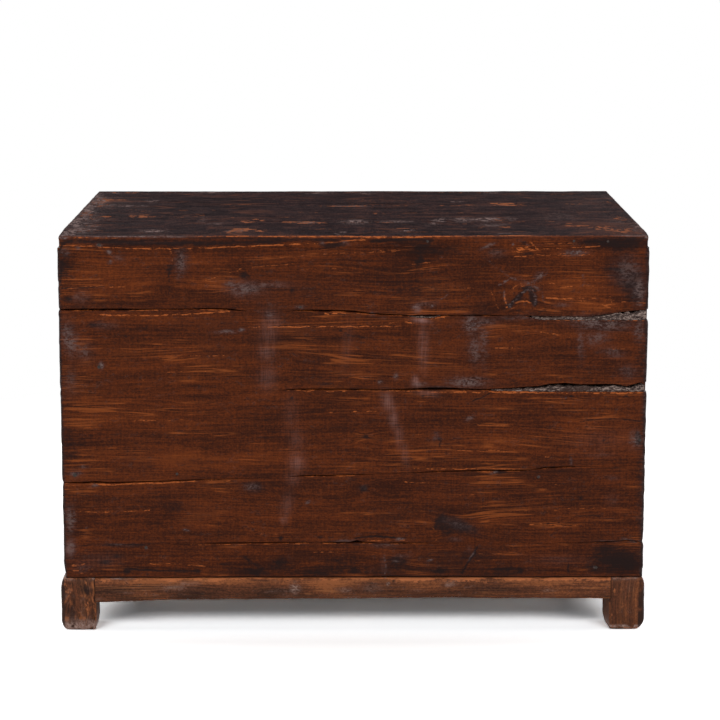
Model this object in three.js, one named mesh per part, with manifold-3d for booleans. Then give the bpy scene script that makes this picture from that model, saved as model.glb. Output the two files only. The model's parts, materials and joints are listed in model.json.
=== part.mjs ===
// A low kang cabinet: a nailed plank carcass that stands on a separate base of four shaped feet
// and let-in aprons. Two framed doors turn on wooden pivot pegs in the front, between fixed panels.
// Millimetres, +Z up, floor at zero. The pieces are drawn with the doors towards -Y, and the whole
// cabinet is turned at the end, so that its plank back faces -Y. Left and right are as one faces
// the doors.
import * as THREE from "three";
import { mergeVertices } from "three/addons/utils/BufferGeometryUtils.js";
import Module from "manifold-3d";

const wasm = await Module();
wasm.setup();

// Driving dimensions
const carcassWidth = 880;
const carcassDepth = 616;
const overallHeight = 604;
const baseHeight = 81;
const fitGap = 0.3;
const overrun = 20;

// Base
const baseOverhang = 5;
const apronHeight = 37;
const apronThickness = 26;
const shoulderInset = 6;
const shoulderDrop = 22;
const footWidth = 54;
const footLet = 2;
const footArrisRound = 7;
const toeInset = 7;
const toeRise = 7;
const toeLift = 26;
const innerTaper = 3;
const innerTaperHeight = 12;
const baseTenonThickness = 10;
const baseTenonInset = 8;
const baseTenonLength = 22;
const baseTenonShoulder = 7;
const bearerWidth = 44;
const bearerHeight = 28;
const bearerTenonLength = 12;
const bearerTenonShoulder = 6;

// Carcass boards
const backThickness = 20;
const sideThickness = 20;
const topThickness = 18;
const cornerRound = 5;
const topEdgeRound = 5;
const topBackBoardWidth = 180;
const topMiddleBoardWidth = 236;
const battenWidth = 42;
const battenHeight = 20;
const battenChamfer = 5;
const battenSpacing = 500;
const dovetailDepth = 7;
const dovetailWidth = 30;
const dovetailNeck = 24;
const sideTongueThickness = 8;
const sideTongueLength = 8;
const sideJointShares = [0.34, 0.69];
// Joints between the back boards, as shares of the back's height at the -X end and the +X end: the
// boards taper, as they were sawn from the log.
const backJointShares = [
  [0.11, 0.099],
  [0.34, 0.288],
  [0.576, 0.576],
  [0.794, 0.818],
];

// Front frame
const frontThickness = 22;
const stileWidth = 55;
const railHeight = 55;
const muntinWidth = 45;
const doorOpeningWidth = 440;
const frameTenonThickness = 9;
const frameTenonLength = 34;
const frameTenonShoulder = 9;
const muntinTenonLength = 24;
const panelThickness = 9;
const panelRecess = 6;
const panelGroove = 7;
const panelPlay = 1;
const mouldingChamfer = 3;

// Doors
const doorSideGap = 1.2;
const doorMeetingGap = 2;
const doorEndGap = 1.5;
const doorStileWidth = 46;
const doorRailHeight = 44;
const doorTenonThickness = 8;
const doorTenonLength = 26;
const doorTenonShoulder = 7;
const pegRadius = 6;
const pegLength = 12;
const pegPlay = 0.4;

// Door stops, floor and shelf
const stopDepth = 16;
const stopLap = 12;
const stopReach = 10;
const floorThickness = 18;
const dadoDepth = 6;
const shelfThickness = 15;
const shelfRiseShare = 0.573;
const shelfSetback = 24;
const cleatDepth = 20;
const cleatHeight = 26;

// Ring pulls
const wireRadius = 1.6;
const eyeRadius = 6;
const eyeStandoff = 8.5;
const eyeHolePlay = 1;
const clinchLength = 11;
const clinchStandoff = 0.4;
const plateRadius = 15;
const plateThickness = 1.2;
const plateDome = 2;
const plateHoleRadius = 5;
const ringRadius = 19;
const ringWireRadius = 2.4;
const ringHeightShare = 0.52;

// Facets
const arcSteps = 5;
const roundSides = 24;
const wireSides = 8;
const wireSteps = 60;
const loopSteps = 14;
const ringSteps = 32;
const weld = 1e-4;

// Levels and faces that the pieces share
const halfWidth = carcassWidth / 2;
const halfDepth = carcassDepth / 2;
const boxBottom = baseHeight + fitGap;
const boxTop = overallHeight - topThickness - fitGap;
const frontFace = -halfDepth;
const frontInner = frontFace + frontThickness;
const backInner = halfDepth - backThickness;
const sideInner = halfWidth - sideThickness;
const openingBottom = boxBottom + railHeight;
const openingTop = boxTop - railHeight;
const halfOpening = doorOpeningWidth / 2;
const muntinOuter = halfOpening + muntinWidth;
const stileInner = halfWidth - stileWidth;
const floorTop = openingBottom - stopLap - fitGap;
const floorBottom = floorTop - floorThickness;
const shelfTop = floorTop + shelfRiseShare * (openingTop - openingBottom);
const shelfBottom = shelfTop - shelfThickness;
const doorHeight = openingTop - openingBottom - 2 * doorEndGap;
const doorBottom = openingBottom + doorEndGap;
const doorWidth = halfOpening - doorSideGap - doorMeetingGap / 2;
const pivotOffset = halfOpening - doorSideGap - frontThickness / 2;
const pivotDepth = frontFace + frontThickness / 2;

// Finishes
const finish = (color, roughness, metalness = 0) =>
  new THREE.MeshStandardMaterial({ color, roughness, metalness });
const backLacquer = finish(0x5a2c14, 0.45);
const topLacquer = finish(0x2c1a18, 0.5);
const sideLacquer = finish(0x4a2412, 0.45);
const frontLacquer = finish(0x56260f, 0.42);
const panelLacquer = finish(0x4a1c0e, 0.4);
const baseLacquer = finish(0x5f3418, 0.5);
const bareWood = finish(0x8a6a48, 0.85);
const wroughtIron = finish(0x2a2725, 0.55, 0.85);

// A closed geometry as a solid that can be joined and cut.
function solid(geometry) {
  const flat = geometry.index ? geometry.toNonIndexed() : geometry;
  const bare = new THREE.BufferGeometry();
  bare.setAttribute("position", flat.getAttribute("position"));
  const merged = mergeVertices(bare, weld);
  const mesh = new wasm.Mesh({
    numProp: 3,
    vertProperties: merged.attributes.position.array,
    triVerts: new Uint32Array(merged.index.array),
  });
  return new wasm.Manifold(mesh);
}

function geometryOf(body) {
  const mesh = body.getMesh();
  const geometry = new THREE.BufferGeometry();
  geometry.setAttribute("position", new THREE.BufferAttribute(mesh.vertProperties, mesh.numProp));
  geometry.setIndex(new THREE.BufferAttribute(mesh.triVerts, 1));
  const shaded = geometry.toNonIndexed();
  shaded.computeVertexNormals();
  return shaded;
}

// A block between two values along each axis.
function block([x0, x1], [y0, y1], [z0, z1]) {
  const geometry = new THREE.BoxGeometry(x1 - x0, y1 - y0, z1 - z0);
  geometry.translate((x0 + x1) / 2, (y0 + y1) / 2, (z0 + z1) / 2);
  return solid(geometry);
}

function extruded(shape, length) {
  return new THREE.ExtrudeGeometry(shape, {
    depth: length,
    bevelEnabled: false,
    curveSegments: arcSteps,
  });
}

// A profile drawn in Y and Z, run along X.
function alongX(shape, [x0, x1]) {
  const geometry = extruded(shape, x1 - x0);
  const turn = new THREE.Matrix4().makeBasis(
    new THREE.Vector3(0, 1, 0),
    new THREE.Vector3(0, 0, 1),
    new THREE.Vector3(1, 0, 0),
  );
  geometry.applyMatrix4(turn);
  return solid(geometry.translate(x0, 0, 0));
}

// A profile drawn in X and Z, run along Y.
function alongY(shape, [y0, y1]) {
  const geometry = extruded(shape, y1 - y0);
  geometry.rotateX(Math.PI / 2);
  return solid(geometry.translate(0, y1, 0));
}

// A profile drawn in X and Y, run along Z.
function alongZ(shape, [z0, z1]) {
  return solid(extruded(shape, z1 - z0).translate(0, 0, z0));
}

function polygon(points) {
  return new THREE.Shape(points.map(([x, y]) => new THREE.Vector2(x, y)));
}

// A rectangle whose corners have their own radii: lower left, lower right, upper right, upper left.
function roundedRectangle([x0, x1], [y0, y1], [lowerLeft, lowerRight, upperRight, upperLeft]) {
  const shape = new THREE.Shape();
  shape.moveTo(x0 + lowerLeft, y0);
  shape.lineTo(x1 - lowerRight, y0);
  if (lowerRight) shape.absarc(x1 - lowerRight, y0 + lowerRight, lowerRight, -Math.PI / 2, 0);
  shape.lineTo(x1, y1 - upperRight);
  if (upperRight) shape.absarc(x1 - upperRight, y1 - upperRight, upperRight, 0, Math.PI / 2);
  shape.lineTo(x0 + upperLeft, y1);
  if (upperLeft) shape.absarc(x0 + upperLeft, y1 - upperLeft, upperLeft, Math.PI / 2, Math.PI);
  shape.lineTo(x0, y0 + lowerLeft);
  if (lowerLeft) shape.absarc(x0 + lowerLeft, y0 + lowerLeft, lowerLeft, Math.PI, 1.5 * Math.PI);
  return shape;
}

function cylinder(radius, x, y, [z0, z1]) {
  const geometry = new THREE.CylinderGeometry(radius, radius, z1 - z0, roundSides);
  geometry.rotateX(Math.PI / 2);
  return solid(geometry.translate(x, y, (z0 + z1) / 2));
}

const grown = ([low, high], by = fitGap) => [low - by, high + by];
const ordered = (a, b) => [Math.min(a, b), Math.max(a, b)];

const cabinet = new THREE.Group();

function place(group, name, body, material) {
  const mesh = new THREE.Mesh(geometryOf(body), material);
  mesh.name = name;
  group.add(mesh);
}

// A foot in elevation, with its outer edge at zero and its inner edge at the foot's width.
function footProfile() {
  const shape = new THREE.Shape();
  shape.moveTo(toeInset + toeRise, 0);
  shape.lineTo(footWidth - innerTaper, 0);
  shape.lineTo(footWidth, innerTaperHeight);
  shape.lineTo(footWidth, baseHeight);
  shape.lineTo(shoulderInset, baseHeight);
  shape.quadraticCurveTo(0, baseHeight, 0, baseHeight - shoulderDrop);
  shape.lineTo(0, toeLift);
  shape.quadraticCurveTo(0, toeRise, toeInset, toeRise / 2);
  shape.quadraticCurveTo(toeInset, 0, toeInset + toeRise, 0);
  return shape;
}

// An apron in section, with its outer face at zero.
function apronProfile() {
  const bottom = baseHeight - apronHeight;
  const shape = new THREE.Shape();
  shape.moveTo(0, bottom);
  shape.lineTo(apronThickness, bottom);
  shape.lineTo(apronThickness, baseHeight);
  shape.lineTo(shoulderInset, baseHeight);
  shape.quadraticCurveTo(0, baseHeight, 0, baseHeight - shoulderDrop);
  return shape;
}

const baseTenonSpan = [
  baseHeight - apronHeight + baseTenonShoulder,
  baseHeight - baseTenonShoulder,
];
const footInset = footWidth - footLet;
const tenonReach = [footInset - baseTenonLength, footInset];
const tenonBand = [baseTenonInset, baseTenonInset + baseTenonThickness];

// One foot with its outer corner at the origin, reaching along +X and +Y.
function footBody() {
  const profile = footProfile();
  const plan = roundedRectangle([0, footWidth], [0, footWidth], [footArrisRound, 0, 0, 0]);
  let body = alongZ(plan, [0, baseHeight]);
  body = body.intersect(alongY(profile, [-overrun, footWidth + overrun]));
  body = body.intersect(alongX(profile, [-overrun, footWidth + overrun]));
  const letIn = [footInset, footWidth + overrun];
  const across = [-overrun, footWidth + overrun];
  const apronZone = [baseHeight - apronHeight - fitGap, baseHeight + overrun];
  body = body.subtract(block(letIn, across, apronZone));
  body = body.subtract(block(across, letIn, apronZone));
  const mortise = [tenonReach[0] - fitGap, footInset + overrun];
  body = body.subtract(block(mortise, grown(tenonBand), grown(baseTenonSpan)));
  return body.subtract(block(grown(tenonBand), mortise, grown(baseTenonSpan)));
}

// An apron along +X between two feet whose outer corners are length apart, outer face at Y zero.
function apronBody(length, mortised) {
  const body = alongX(apronProfile(), [footInset + fitGap, length - footInset - fitGap]);
  const tenon = block([tenonReach[0], length - tenonReach[0]], tenonBand, baseTenonSpan);
  const apron = body.add(tenon);
  return mortised ? apron.subtract(bearerMortise(length / 2)) : apron;
}

const bearerTop = baseHeight;
const bearerTenonSpan = [bearerTop - bearerHeight + bearerTenonShoulder, bearerTop - bearerTenonShoulder];

function bearerTenonWidth(middle) {
  const half = bearerWidth / 2 - bearerTenonShoulder;
  return [middle - half, middle + half];
}

function bearerMortise(middle) {
  const depth = [apronThickness - bearerTenonLength - fitGap, apronThickness + overrun];
  return block(grown(bearerTenonWidth(middle)), depth, grown(bearerTenonSpan));
}

const baseLength = carcassWidth + 2 * baseOverhang;
const baseBreadth = carcassDepth + 2 * baseOverhang;

function addBase() {
  const base = new THREE.Group();
  const quarterTurn = Math.PI / 2;
  // Corners in order round the base: where each foot's outer corner stands, and how far it is turned.
  const corners = [
    ["foot_front_left", -1, -1, 0],
    ["foot_front_right", 1, -1, quarterTurn],
    ["foot_back_right", 1, 1, 2 * quarterTurn],
    ["foot_back_left", -1, 1, 3 * quarterTurn],
  ];
  const aprons = [
    ["apron_front", baseLength, true],
    ["apron_right", baseBreadth, false],
    ["apron_back", baseLength, true],
    ["apron_left", baseBreadth, false],
  ];
  corners.forEach(([footName, sideX, sideY, turn], i) => {
    const corner = new THREE.Group();
    corner.position.set((sideX * baseLength) / 2, (sideY * baseBreadth) / 2, 0);
    corner.rotation.z = turn;
    place(corner, footName, footBody(), baseLacquer);
    const [apronName, length, mortised] = aprons[i];
    place(corner, apronName, apronBody(length, mortised), baseLacquer);
    base.add(corner);
  });
  const apronInner = baseBreadth / 2 - apronThickness;
  const bearer = block(
    [-bearerWidth / 2, bearerWidth / 2],
    [-apronInner + fitGap, apronInner - fitGap],
    [bearerTop - bearerHeight, bearerTop],
  );
  const tongue = apronInner + bearerTenonLength;
  const tenons = block(bearerTenonWidth(0), [-tongue, tongue], bearerTenonSpan);
  place(base, "base_bearer", bearer.add(tenons), bareWood);
  cabinet.add(base);
}

// The back: one rounded slab, sawn into boards along joints that run out of level.
function addBack() {
  const corners = [0, 0, cornerRound, cornerRound];
  const plan = roundedRectangle([-halfWidth, halfWidth], [backInner, halfDepth], corners);
  const slab = alongZ(plan, [boxBottom, boxTop]);
  const half = fitGap / 2;
  const height = boxTop - boxBottom;
  const joints = backJointShares.map((ends) => ends.map((share) => boxBottom + share * height));
  const below = boxBottom - overrun;
  const above = boxTop + overrun;
  const edges = [[below, below], ...joints, [above, above]];
  const reach = [backInner - overrun, halfDepth + overrun];
  for (let i = 0; i + 1 < edges.length; i++) {
    const [lowLeft, lowRight] = edges[i];
    const [highLeft, highRight] = edges[i + 1];
    const board = polygon([
      [-halfWidth, lowLeft + half],
      [halfWidth, lowRight + half],
      [halfWidth, highRight - half],
      [-halfWidth, highLeft - half],
    ]);
    place(cabinet, `back_board_${i + 1}`, slab.intersect(alongY(board, reach)), backLacquer);
  }
}

function sideTongue(side) {
  const middle = side * (halfWidth - sideThickness / 2);
  return [middle - sideTongueThickness / 2, middle + sideTongueThickness / 2];
}

// Each side is three level boards, tongued into the front stile and nailed to behind. The lowest
// holds the ends of the floor.
function addSides() {
  const height = boxTop - boxBottom;
  const levels = [0, ...sideJointShares, 1].map((share) => boxBottom + share * height);
  const run = [frontInner + fitGap, backInner - fitGap];
  const tongueRun = [frontInner - sideTongueLength, run[1]];
  const half = fitGap / 2;
  for (const [word, side] of [["left", -1], ["right", 1]]) {
    const wall = ordered(side * sideInner, side * halfWidth);
    const dado = ordered(side * (sideInner - overrun), side * (sideInner + dadoDepth + fitGap));
    for (let i = 0; i + 1 < levels.length; i++) {
      const low = levels[i] + (i ? half : 0);
      const high = levels[i + 1] - (i + 2 < levels.length ? half : 0);
      const board = block(wall, run, [low, high]);
      const tongue = block(sideTongue(side), tongueRun, [low, high]);
      const groove = block(dado, grown(run, overrun), grown([floorBottom, floorTop]));
      place(cabinet, `side_board_${word}_${i + 1}`, board.add(tongue).subtract(groove), sideLacquer);
    }
  }
}

// A batten in section: a chamfered bar whose dovetail runs across the boards above it.
function battenSection(middle, play) {
  const under = overallHeight - topThickness - fitGap;
  const tail = overallHeight - topThickness + dovetailDepth - fitGap + play;
  const half = battenWidth / 2;
  const neck = dovetailNeck / 2 + play;
  const crown = dovetailWidth / 2 + play;
  return polygon([
    [middle - half + battenChamfer, under - battenHeight],
    [middle + half - battenChamfer, under - battenHeight],
    [middle + half, under - battenHeight + battenChamfer],
    [middle + half, under],
    [middle + neck, under],
    [middle + crown, tail],
    [middle - crown, tail],
    [middle - neck, under],
    [middle - half, under],
    [middle - half, under - battenHeight + battenChamfer],
  ]);
}

// The top: a slab with worn, rounded edges, in three boards that two dovetailed battens hold flat.
// The boards slide on to the battens, so the grooves stop short of the front and back edges.
function addTop() {
  const level = [overallHeight - topThickness, overallHeight];
  const rounds = [0, 0, topEdgeRound, topEdgeRound];
  const acrossSection = roundedRectangle([-halfWidth, halfWidth], level, rounds);
  const depthSection = roundedRectangle([-halfDepth, halfDepth], level, rounds);
  const slab = alongY(acrossSection, [-halfDepth, halfDepth]).intersect(
    alongX(depthSection, [-halfWidth, halfWidth]),
  );
  const half = fitGap / 2;
  const backJoint = halfDepth - topBackBoardWidth;
  const frontJoint = backJoint - topMiddleBoardWidth;
  const strips = [
    ["top_board_front", [-halfDepth - overrun, frontJoint - half]],
    ["top_board_middle", [frontJoint + half, backJoint - half]],
    ["top_board_back", [backJoint + half, halfDepth + overrun]],
  ];
  const wide = [-halfWidth - overrun, halfWidth + overrun];
  const run = [frontInner + fitGap, backInner - fitGap];
  const battens = { left: -battenSpacing / 2, right: battenSpacing / 2 };
  const grooves = Object.values(battens).map((middle) =>
    alongY(battenSection(middle, fitGap), grown(run)),
  );
  for (const [name, strip] of strips) {
    const board = slab.intersect(block(wide, strip, grown(level, overrun)));
    place(cabinet, name, cut(board, ...grooves), topLacquer);
  }
  for (const [word, middle] of Object.entries(battens)) {
    place(cabinet, `top_batten_${word}`, alongY(battenSection(middle, 0), run), bareWood);
  }
}

// The wedge that planes a mitred chamfer round a panel opening, on the front face at the given depth.
function openingChamfer([x0, x1], [z0, z1], face) {
  const slice = (by, y) => [
    [x0 - by, y, z0 - by],
    [x1 + by, y, z0 - by],
    [x1 + by, y, z1 + by],
    [x0 - by, y, z1 + by],
  ];
  const near = slice(mouldingChamfer + overrun, face - overrun);
  const far = slice(0, face + mouldingChamfer);
  const positions = new Float32Array([...near, ...far].flat());
  const faces = [0, 1, 2, 0, 2, 3, 4, 6, 5, 4, 7, 6];
  for (let i = 0; i < near.length; i++) {
    const j = (i + 1) % near.length;
    faces.push(i, i + near.length, j, j, i + near.length, j + near.length);
  }
  const geometry = new THREE.BufferGeometry();
  geometry.setAttribute("position", new THREE.BufferAttribute(positions, 3));
  geometry.setIndex(faces);
  return solid(geometry);
}

// What a floating panel needs: its board, the groove that it stands in, and the chamfer round it.
function panelIn(spanX, spanZ, face) {
  const depth = [face + panelRecess, face + panelRecess + panelThickness];
  const seated = panelGroove - panelPlay;
  return {
    board: block(grown(spanX, seated), depth, grown(spanZ, seated)),
    groove: block(grown(spanX, panelGroove), grown(depth), grown(spanZ, panelGroove)),
    chamfer: openingChamfer(spanX, spanZ, face),
  };
}

function cut(body, ...tools) {
  return tools.reduce((rest, tool) => rest.subtract(tool), body);
}

// The front frame: stiles, rails and muntins, tenoned together, with a fixed panel on each side.
function addFront() {
  const thick = [frontFace, frontInner];
  const middleY = (frontFace + frontInner) / 2;
  const tenonY = [middleY - frameTenonThickness / 2, middleY + frameTenonThickness / 2];
  const rails = { top: [openingTop, boxTop], bottom: [boxBottom, openingBottom] };
  const openingZ = [openingBottom, openingTop];
  const panels = {};
  for (const [word, side] of [["left", -1], ["right", 1]]) {
    const spanX = ordered(side * muntinOuter, side * stileInner);
    panels[word] = panelIn(spanX, openingZ, frontFace);
  }
  const panelCuts = Object.values(panels).flatMap((panel) => [panel.groove, panel.chamfer]);
  const railTenonX = [-(stileInner + frameTenonLength), stileInner + frameTenonLength];
  const railTenonZ = (span) => [span[0] + frameTenonShoulder, span[1] - frameTenonShoulder];

  for (const [word, side] of [["left", -1], ["right", 1]]) {
    const round = side < 0 ? [cornerRound, 0, 0, 0] : [0, cornerRound, 0, 0];
    const plan = roundedRectangle(ordered(side * stileInner, side * halfWidth), thick, round);
    const mortises = Object.values(rails).map((span) =>
      block(grown(railTenonX), grown(tenonY), grown(railTenonZ(span))),
    );
    const tongueGroove = block(
      grown(sideTongue(side)),
      [frontInner - sideTongueLength - fitGap, frontInner + overrun],
      grown([boxBottom, boxTop], overrun),
    );
    const stile = cut(alongZ(plan, [boxBottom, boxTop]), tongueGroove, ...mortises, ...panelCuts);
    place(cabinet, `front_stile_${word}`, stile, frontLacquer);

    const muntinX = ordered(side * halfOpening, side * muntinOuter);
    const inner = side < 0 ? [0, mouldingChamfer, 0, 0] : [mouldingChamfer, 0, 0, 0];
    const muntinPlan = roundedRectangle(muntinX, thick, inner);
    const shortened = [openingBottom + fitGap, openingTop - fitGap];
    const tenonX = [muntinX[0] + frameTenonShoulder, muntinX[1] - frameTenonShoulder];
    const tenonZ = [openingBottom - muntinTenonLength, openingTop + muntinTenonLength];
    const muntin = alongZ(muntinPlan, shortened).add(block(tenonX, tenonY, tenonZ));
    place(cabinet, `front_muntin_${word}`, cut(muntin, ...panelCuts), frontLacquer);
    place(cabinet, `front_panel_${word}`, panels[word].board, panelLacquer);
  }

  const muntinMortises = [-1, 1].map((side) => {
    const muntinX = ordered(side * halfOpening, side * muntinOuter);
    const tenonX = [muntinX[0] + frameTenonShoulder, muntinX[1] - frameTenonShoulder];
    const tenonZ = [openingBottom - muntinTenonLength, openingTop + muntinTenonLength];
    return block(grown(tenonX), grown(tenonY), grown(tenonZ));
  });
  // A door stands on the end of its lower peg, and its upper socket has the room to rise above it.
  const socketZ = {
    top: [openingTop - overrun, openingTop + pegLength],
    bottom: [doorBottom - pegLength - fitGap, openingBottom + overrun],
  };
  for (const [word, span] of Object.entries(rails)) {
    const rail = block([-stileInner + fitGap, stileInner - fitGap], thick, span);
    const tenons = block(railTenonX, tenonY, railTenonZ(span));
    const sockets = [-1, 1].map((side) =>
      cylinder(pegRadius + pegPlay, side * pivotOffset, pivotDepth, socketZ[word]),
    );
    const body = cut(rail.add(tenons), ...muntinMortises, ...panelCuts, ...sockets);
    place(cabinet, `front_rail_${word}`, body, frontLacquer);
  }
}

// Strips behind the two rails that the closed doors rest against.
function addDoorStops() {
  const half = halfOpening - doorStileWidth;
  const depth = [frontInner + fitGap, frontInner + fitGap + stopDepth];
  const lower = block([-half, half], depth, [openingBottom - stopLap, openingBottom + stopReach]);
  const upper = block([-half, half], depth, [openingTop - stopReach, openingTop + stopLap]);
  place(cabinet, "door_stop_bottom", lower, bareWood);
  place(cabinet, "door_stop_top", upper, bareWood);
}

function addFloorAndShelf() {
  const front = frontInner + fitGap;
  const back = backInner - fitGap;
  const half = fitGap / 2;
  const floorMiddle = (front + back) / 2;
  const floorX = [-sideInner - dadoDepth, sideInner + dadoDepth];
  const floorZ = [floorBottom, floorTop];
  place(cabinet, "floor_board_front", block(floorX, [front, floorMiddle - half], floorZ), bareWood);
  place(cabinet, "floor_board_back", block(floorX, [floorMiddle + half, back], floorZ), bareWood);

  const shelfFront = front + shelfSetback;
  const shelfMiddle = (shelfFront + back) / 2;
  const shelfX = [-sideInner + fitGap, sideInner - fitGap];
  const shelfZ = [shelfBottom, shelfTop];
  place(cabinet, "shelf_board_front", block(shelfX, [shelfFront, shelfMiddle - half], shelfZ), bareWood);
  place(cabinet, "shelf_board_back", block(shelfX, [shelfMiddle + half, back], shelfZ), bareWood);

  const cleatZ = [shelfBottom - fitGap - cleatHeight, shelfBottom - fitGap];
  for (const [word, side] of [["left", -1], ["right", 1]]) {
    const wall = sideInner - fitGap;
    const cleat = block(ordered(side * (wall - cleatDepth), side * wall), [shelfFront, back], cleatZ);
    place(cabinet, `shelf_cleat_${word}`, cleat, bareWood);
  }
}

// The forged eye: a wire doubled round a loop, driven through the stile and clinched behind it.
// Its frame has Y zero on the door's front face, and the loop stands out along -Y.
function eyeBody() {
  const leg = wireRadius + fitGap / 2;
  const behind = frontThickness + clinchStandoff + wireRadius;
  const loopCentre = -eyeStandoff;
  const neck = loopCentre + Math.sqrt(eyeRadius ** 2 - leg ** 2);
  const legPoints = [
    [leg + clinchLength, behind],
    [leg + clinchLength / 2, behind],
    [leg + wireRadius, behind - wireRadius / 4],
    [leg, behind - 2 * wireRadius],
    [leg, frontThickness / 2],
    [leg, neck + wireRadius],
  ];
  const open = Math.asin(leg / eyeRadius);
  const loop = [];
  for (let i = 1; i < loopSteps; i++) {
    const angle = Math.PI / 2 - open - (i / loopSteps) * (2 * Math.PI - 2 * open);
    loop.push([eyeRadius * Math.cos(angle), loopCentre + eyeRadius * Math.sin(angle)]);
  }
  const mirrored = legPoints.map(([z, y]) => [-z, y]).reverse();
  const route = [...legPoints, ...loop, ...mirrored].map(([z, y]) => new THREE.Vector3(0, y, z));
  const path = new THREE.CatmullRomCurve3(route, false, "centripetal");
  const section = new THREE.Shape();
  section.absarc(0, 0, wireRadius, 0, 2 * Math.PI);
  const geometry = new THREE.ExtrudeGeometry(section, {
    extrudePath: path,
    steps: wireSteps,
    curveSegments: wireSides,
    bevelEnabled: false,
  });
  return solid(geometry);
}

// A thin domed plate between the eye and the door, with its rim on the door's face.
function plateBody() {
  const rim = fitGap;
  const crown = rim + plateDome;
  const shoulder = (plateRadius + plateHoleRadius) / 2;
  const profile = [
    [plateHoleRadius, crown - plateThickness],
    [shoulder, crown - plateThickness - plateThickness / 3],
    [plateRadius, rim],
    [plateRadius, rim + plateThickness / 2],
    [shoulder, crown - plateThickness / 3],
    [plateHoleRadius, crown],
    [plateHoleRadius, crown - plateThickness],
  ];
  const turned = new THREE.LatheGeometry(
    profile.map(([radius, height]) => new THREE.Vector2(radius, height)),
    ringSteps,
  );
  return solid(turned.rotateX(Math.PI));
}

// The ring hangs in the eye, with its wire just clear of the bottom of the loop.
const ringDrop = eyeRadius - wireRadius - ringWireRadius - fitGap;

function ringBody() {
  const geometry = new THREE.TorusGeometry(ringRadius, ringWireRadius, wireSides, ringSteps);
  geometry.rotateX(Math.PI / 2);
  return solid(geometry.translate(0, -eyeStandoff, -ringDrop - ringRadius));
}

// One door in the frame of its pivot: the axis is at the origin, and side says which way it reaches.
// The left door reaches along +X from its pivot and the right door along -X.
function addDoor(word, side) {
  const door = new THREE.Group();
  door.position.set(side * pivotOffset, pivotDepth, 0);
  const inwards = -side;
  const span = (a, b) => ordered(inwards * a, inwards * b);
  const halfThick = frontThickness / 2;
  const thick = [-halfThick, halfThick];
  const outer = -halfThick;
  const meeting = outer + doorWidth;
  const hingeInner = outer + doorStileWidth;
  const meetingInner = meeting - doorStileWidth;
  const top = doorBottom + doorHeight;
  const panelZ = [doorBottom + doorRailHeight, top - doorRailHeight];
  const panel = panelIn(span(hingeInner, meetingInner), panelZ, -halfThick);
  const tenonY = [-doorTenonThickness / 2, doorTenonThickness / 2];
  const rails = { bottom: [doorBottom, panelZ[0]], top: [panelZ[1], top] };
  const tenonZ = (rail) => [rail[0] + doorTenonShoulder, rail[1] - doorTenonShoulder];
  const tenonX = span(hingeInner - doorTenonLength, meetingInner + doorTenonLength);
  const mortises = Object.values(rails).map((rail) =>
    block(grown(tenonX), grown(tenonY), grown(tenonZ(rail))),
  );

  // The hinge stile's edge is rounded about the pivot, so that it turns beside the muntin.
  const edge = new THREE.Shape();
  edge.moveTo(inwards * hingeInner, -halfThick);
  edge.lineTo(inwards * hingeInner, halfThick);
  edge.lineTo(0, halfThick);
  edge.absarc(0, 0, halfThick, Math.PI / 2, (Math.PI * 3) / 2, inwards < 0);
  const hingeStile = alongZ(edge, [doorBottom, top]);
  const peg = cylinder(pegRadius, 0, 0, [doorBottom - pegLength, top + pegLength]);
  const hinge = cut(hingeStile.add(peg), ...mortises, panel.groove, panel.chamfer);
  place(door, `door_${word}_hinge_stile`, hinge, frontLacquer);

  const eyeX = inwards * (meeting - doorStileWidth / 2);
  const eyeZ = doorBottom + ringHeightShare * doorHeight;
  const eyeHole = block(
    grown([eyeX - wireRadius, eyeX + wireRadius]),
    grown(thick, overrun),
    grown([eyeZ - 2 * wireRadius, eyeZ + 2 * wireRadius], eyeHolePlay),
  );
  const meetingStile = block(span(meetingInner, meeting), thick, [doorBottom, top]);
  const meetingBody = cut(meetingStile, ...mortises, panel.groove, panel.chamfer, eyeHole);
  place(door, `door_${word}_meeting_stile`, meetingBody, frontLacquer);

  for (const [where, rail] of Object.entries(rails)) {
    const body = block(span(hingeInner + fitGap, meetingInner - fitGap), thick, rail);
    const tenoned = body.add(block(tenonX, tenonY, tenonZ(rail)));
    place(door, `door_${word}_${where}_rail`, cut(tenoned, panel.groove, panel.chamfer), frontLacquer);
  }
  place(door, `door_${word}_panel`, panel.board, panelLacquer);

  const pull = new THREE.Group();
  pull.position.set(eyeX, -halfThick, eyeZ);
  place(pull, `pull_eye_${word}`, eyeBody(), wroughtIron);
  place(pull, `pull_plate_${word}`, plateBody(), wroughtIron);
  place(pull, `pull_ring_${word}`, ringBody(), wroughtIron);
  door.add(pull);
  cabinet.add(door);
}

addBase();
addBack();
addSides();
addTop();
addFront();
addDoorStops();
addFloorAndShelf();
addDoor("left", -1);
addDoor("right", 1);

// The plank back is turned to -Y. The pulls stand further out in front than the base does behind,
// and the middle of the two is Y zero.
const frontReach = Math.max(halfDepth + eyeStandoff + eyeRadius + wireRadius, baseBreadth / 2);
cabinet.rotation.z = Math.PI;
cabinet.position.y = (baseBreadth / 2 - frontReach) / 2;

export default cabinet;
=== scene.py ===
import json
import math

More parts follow.
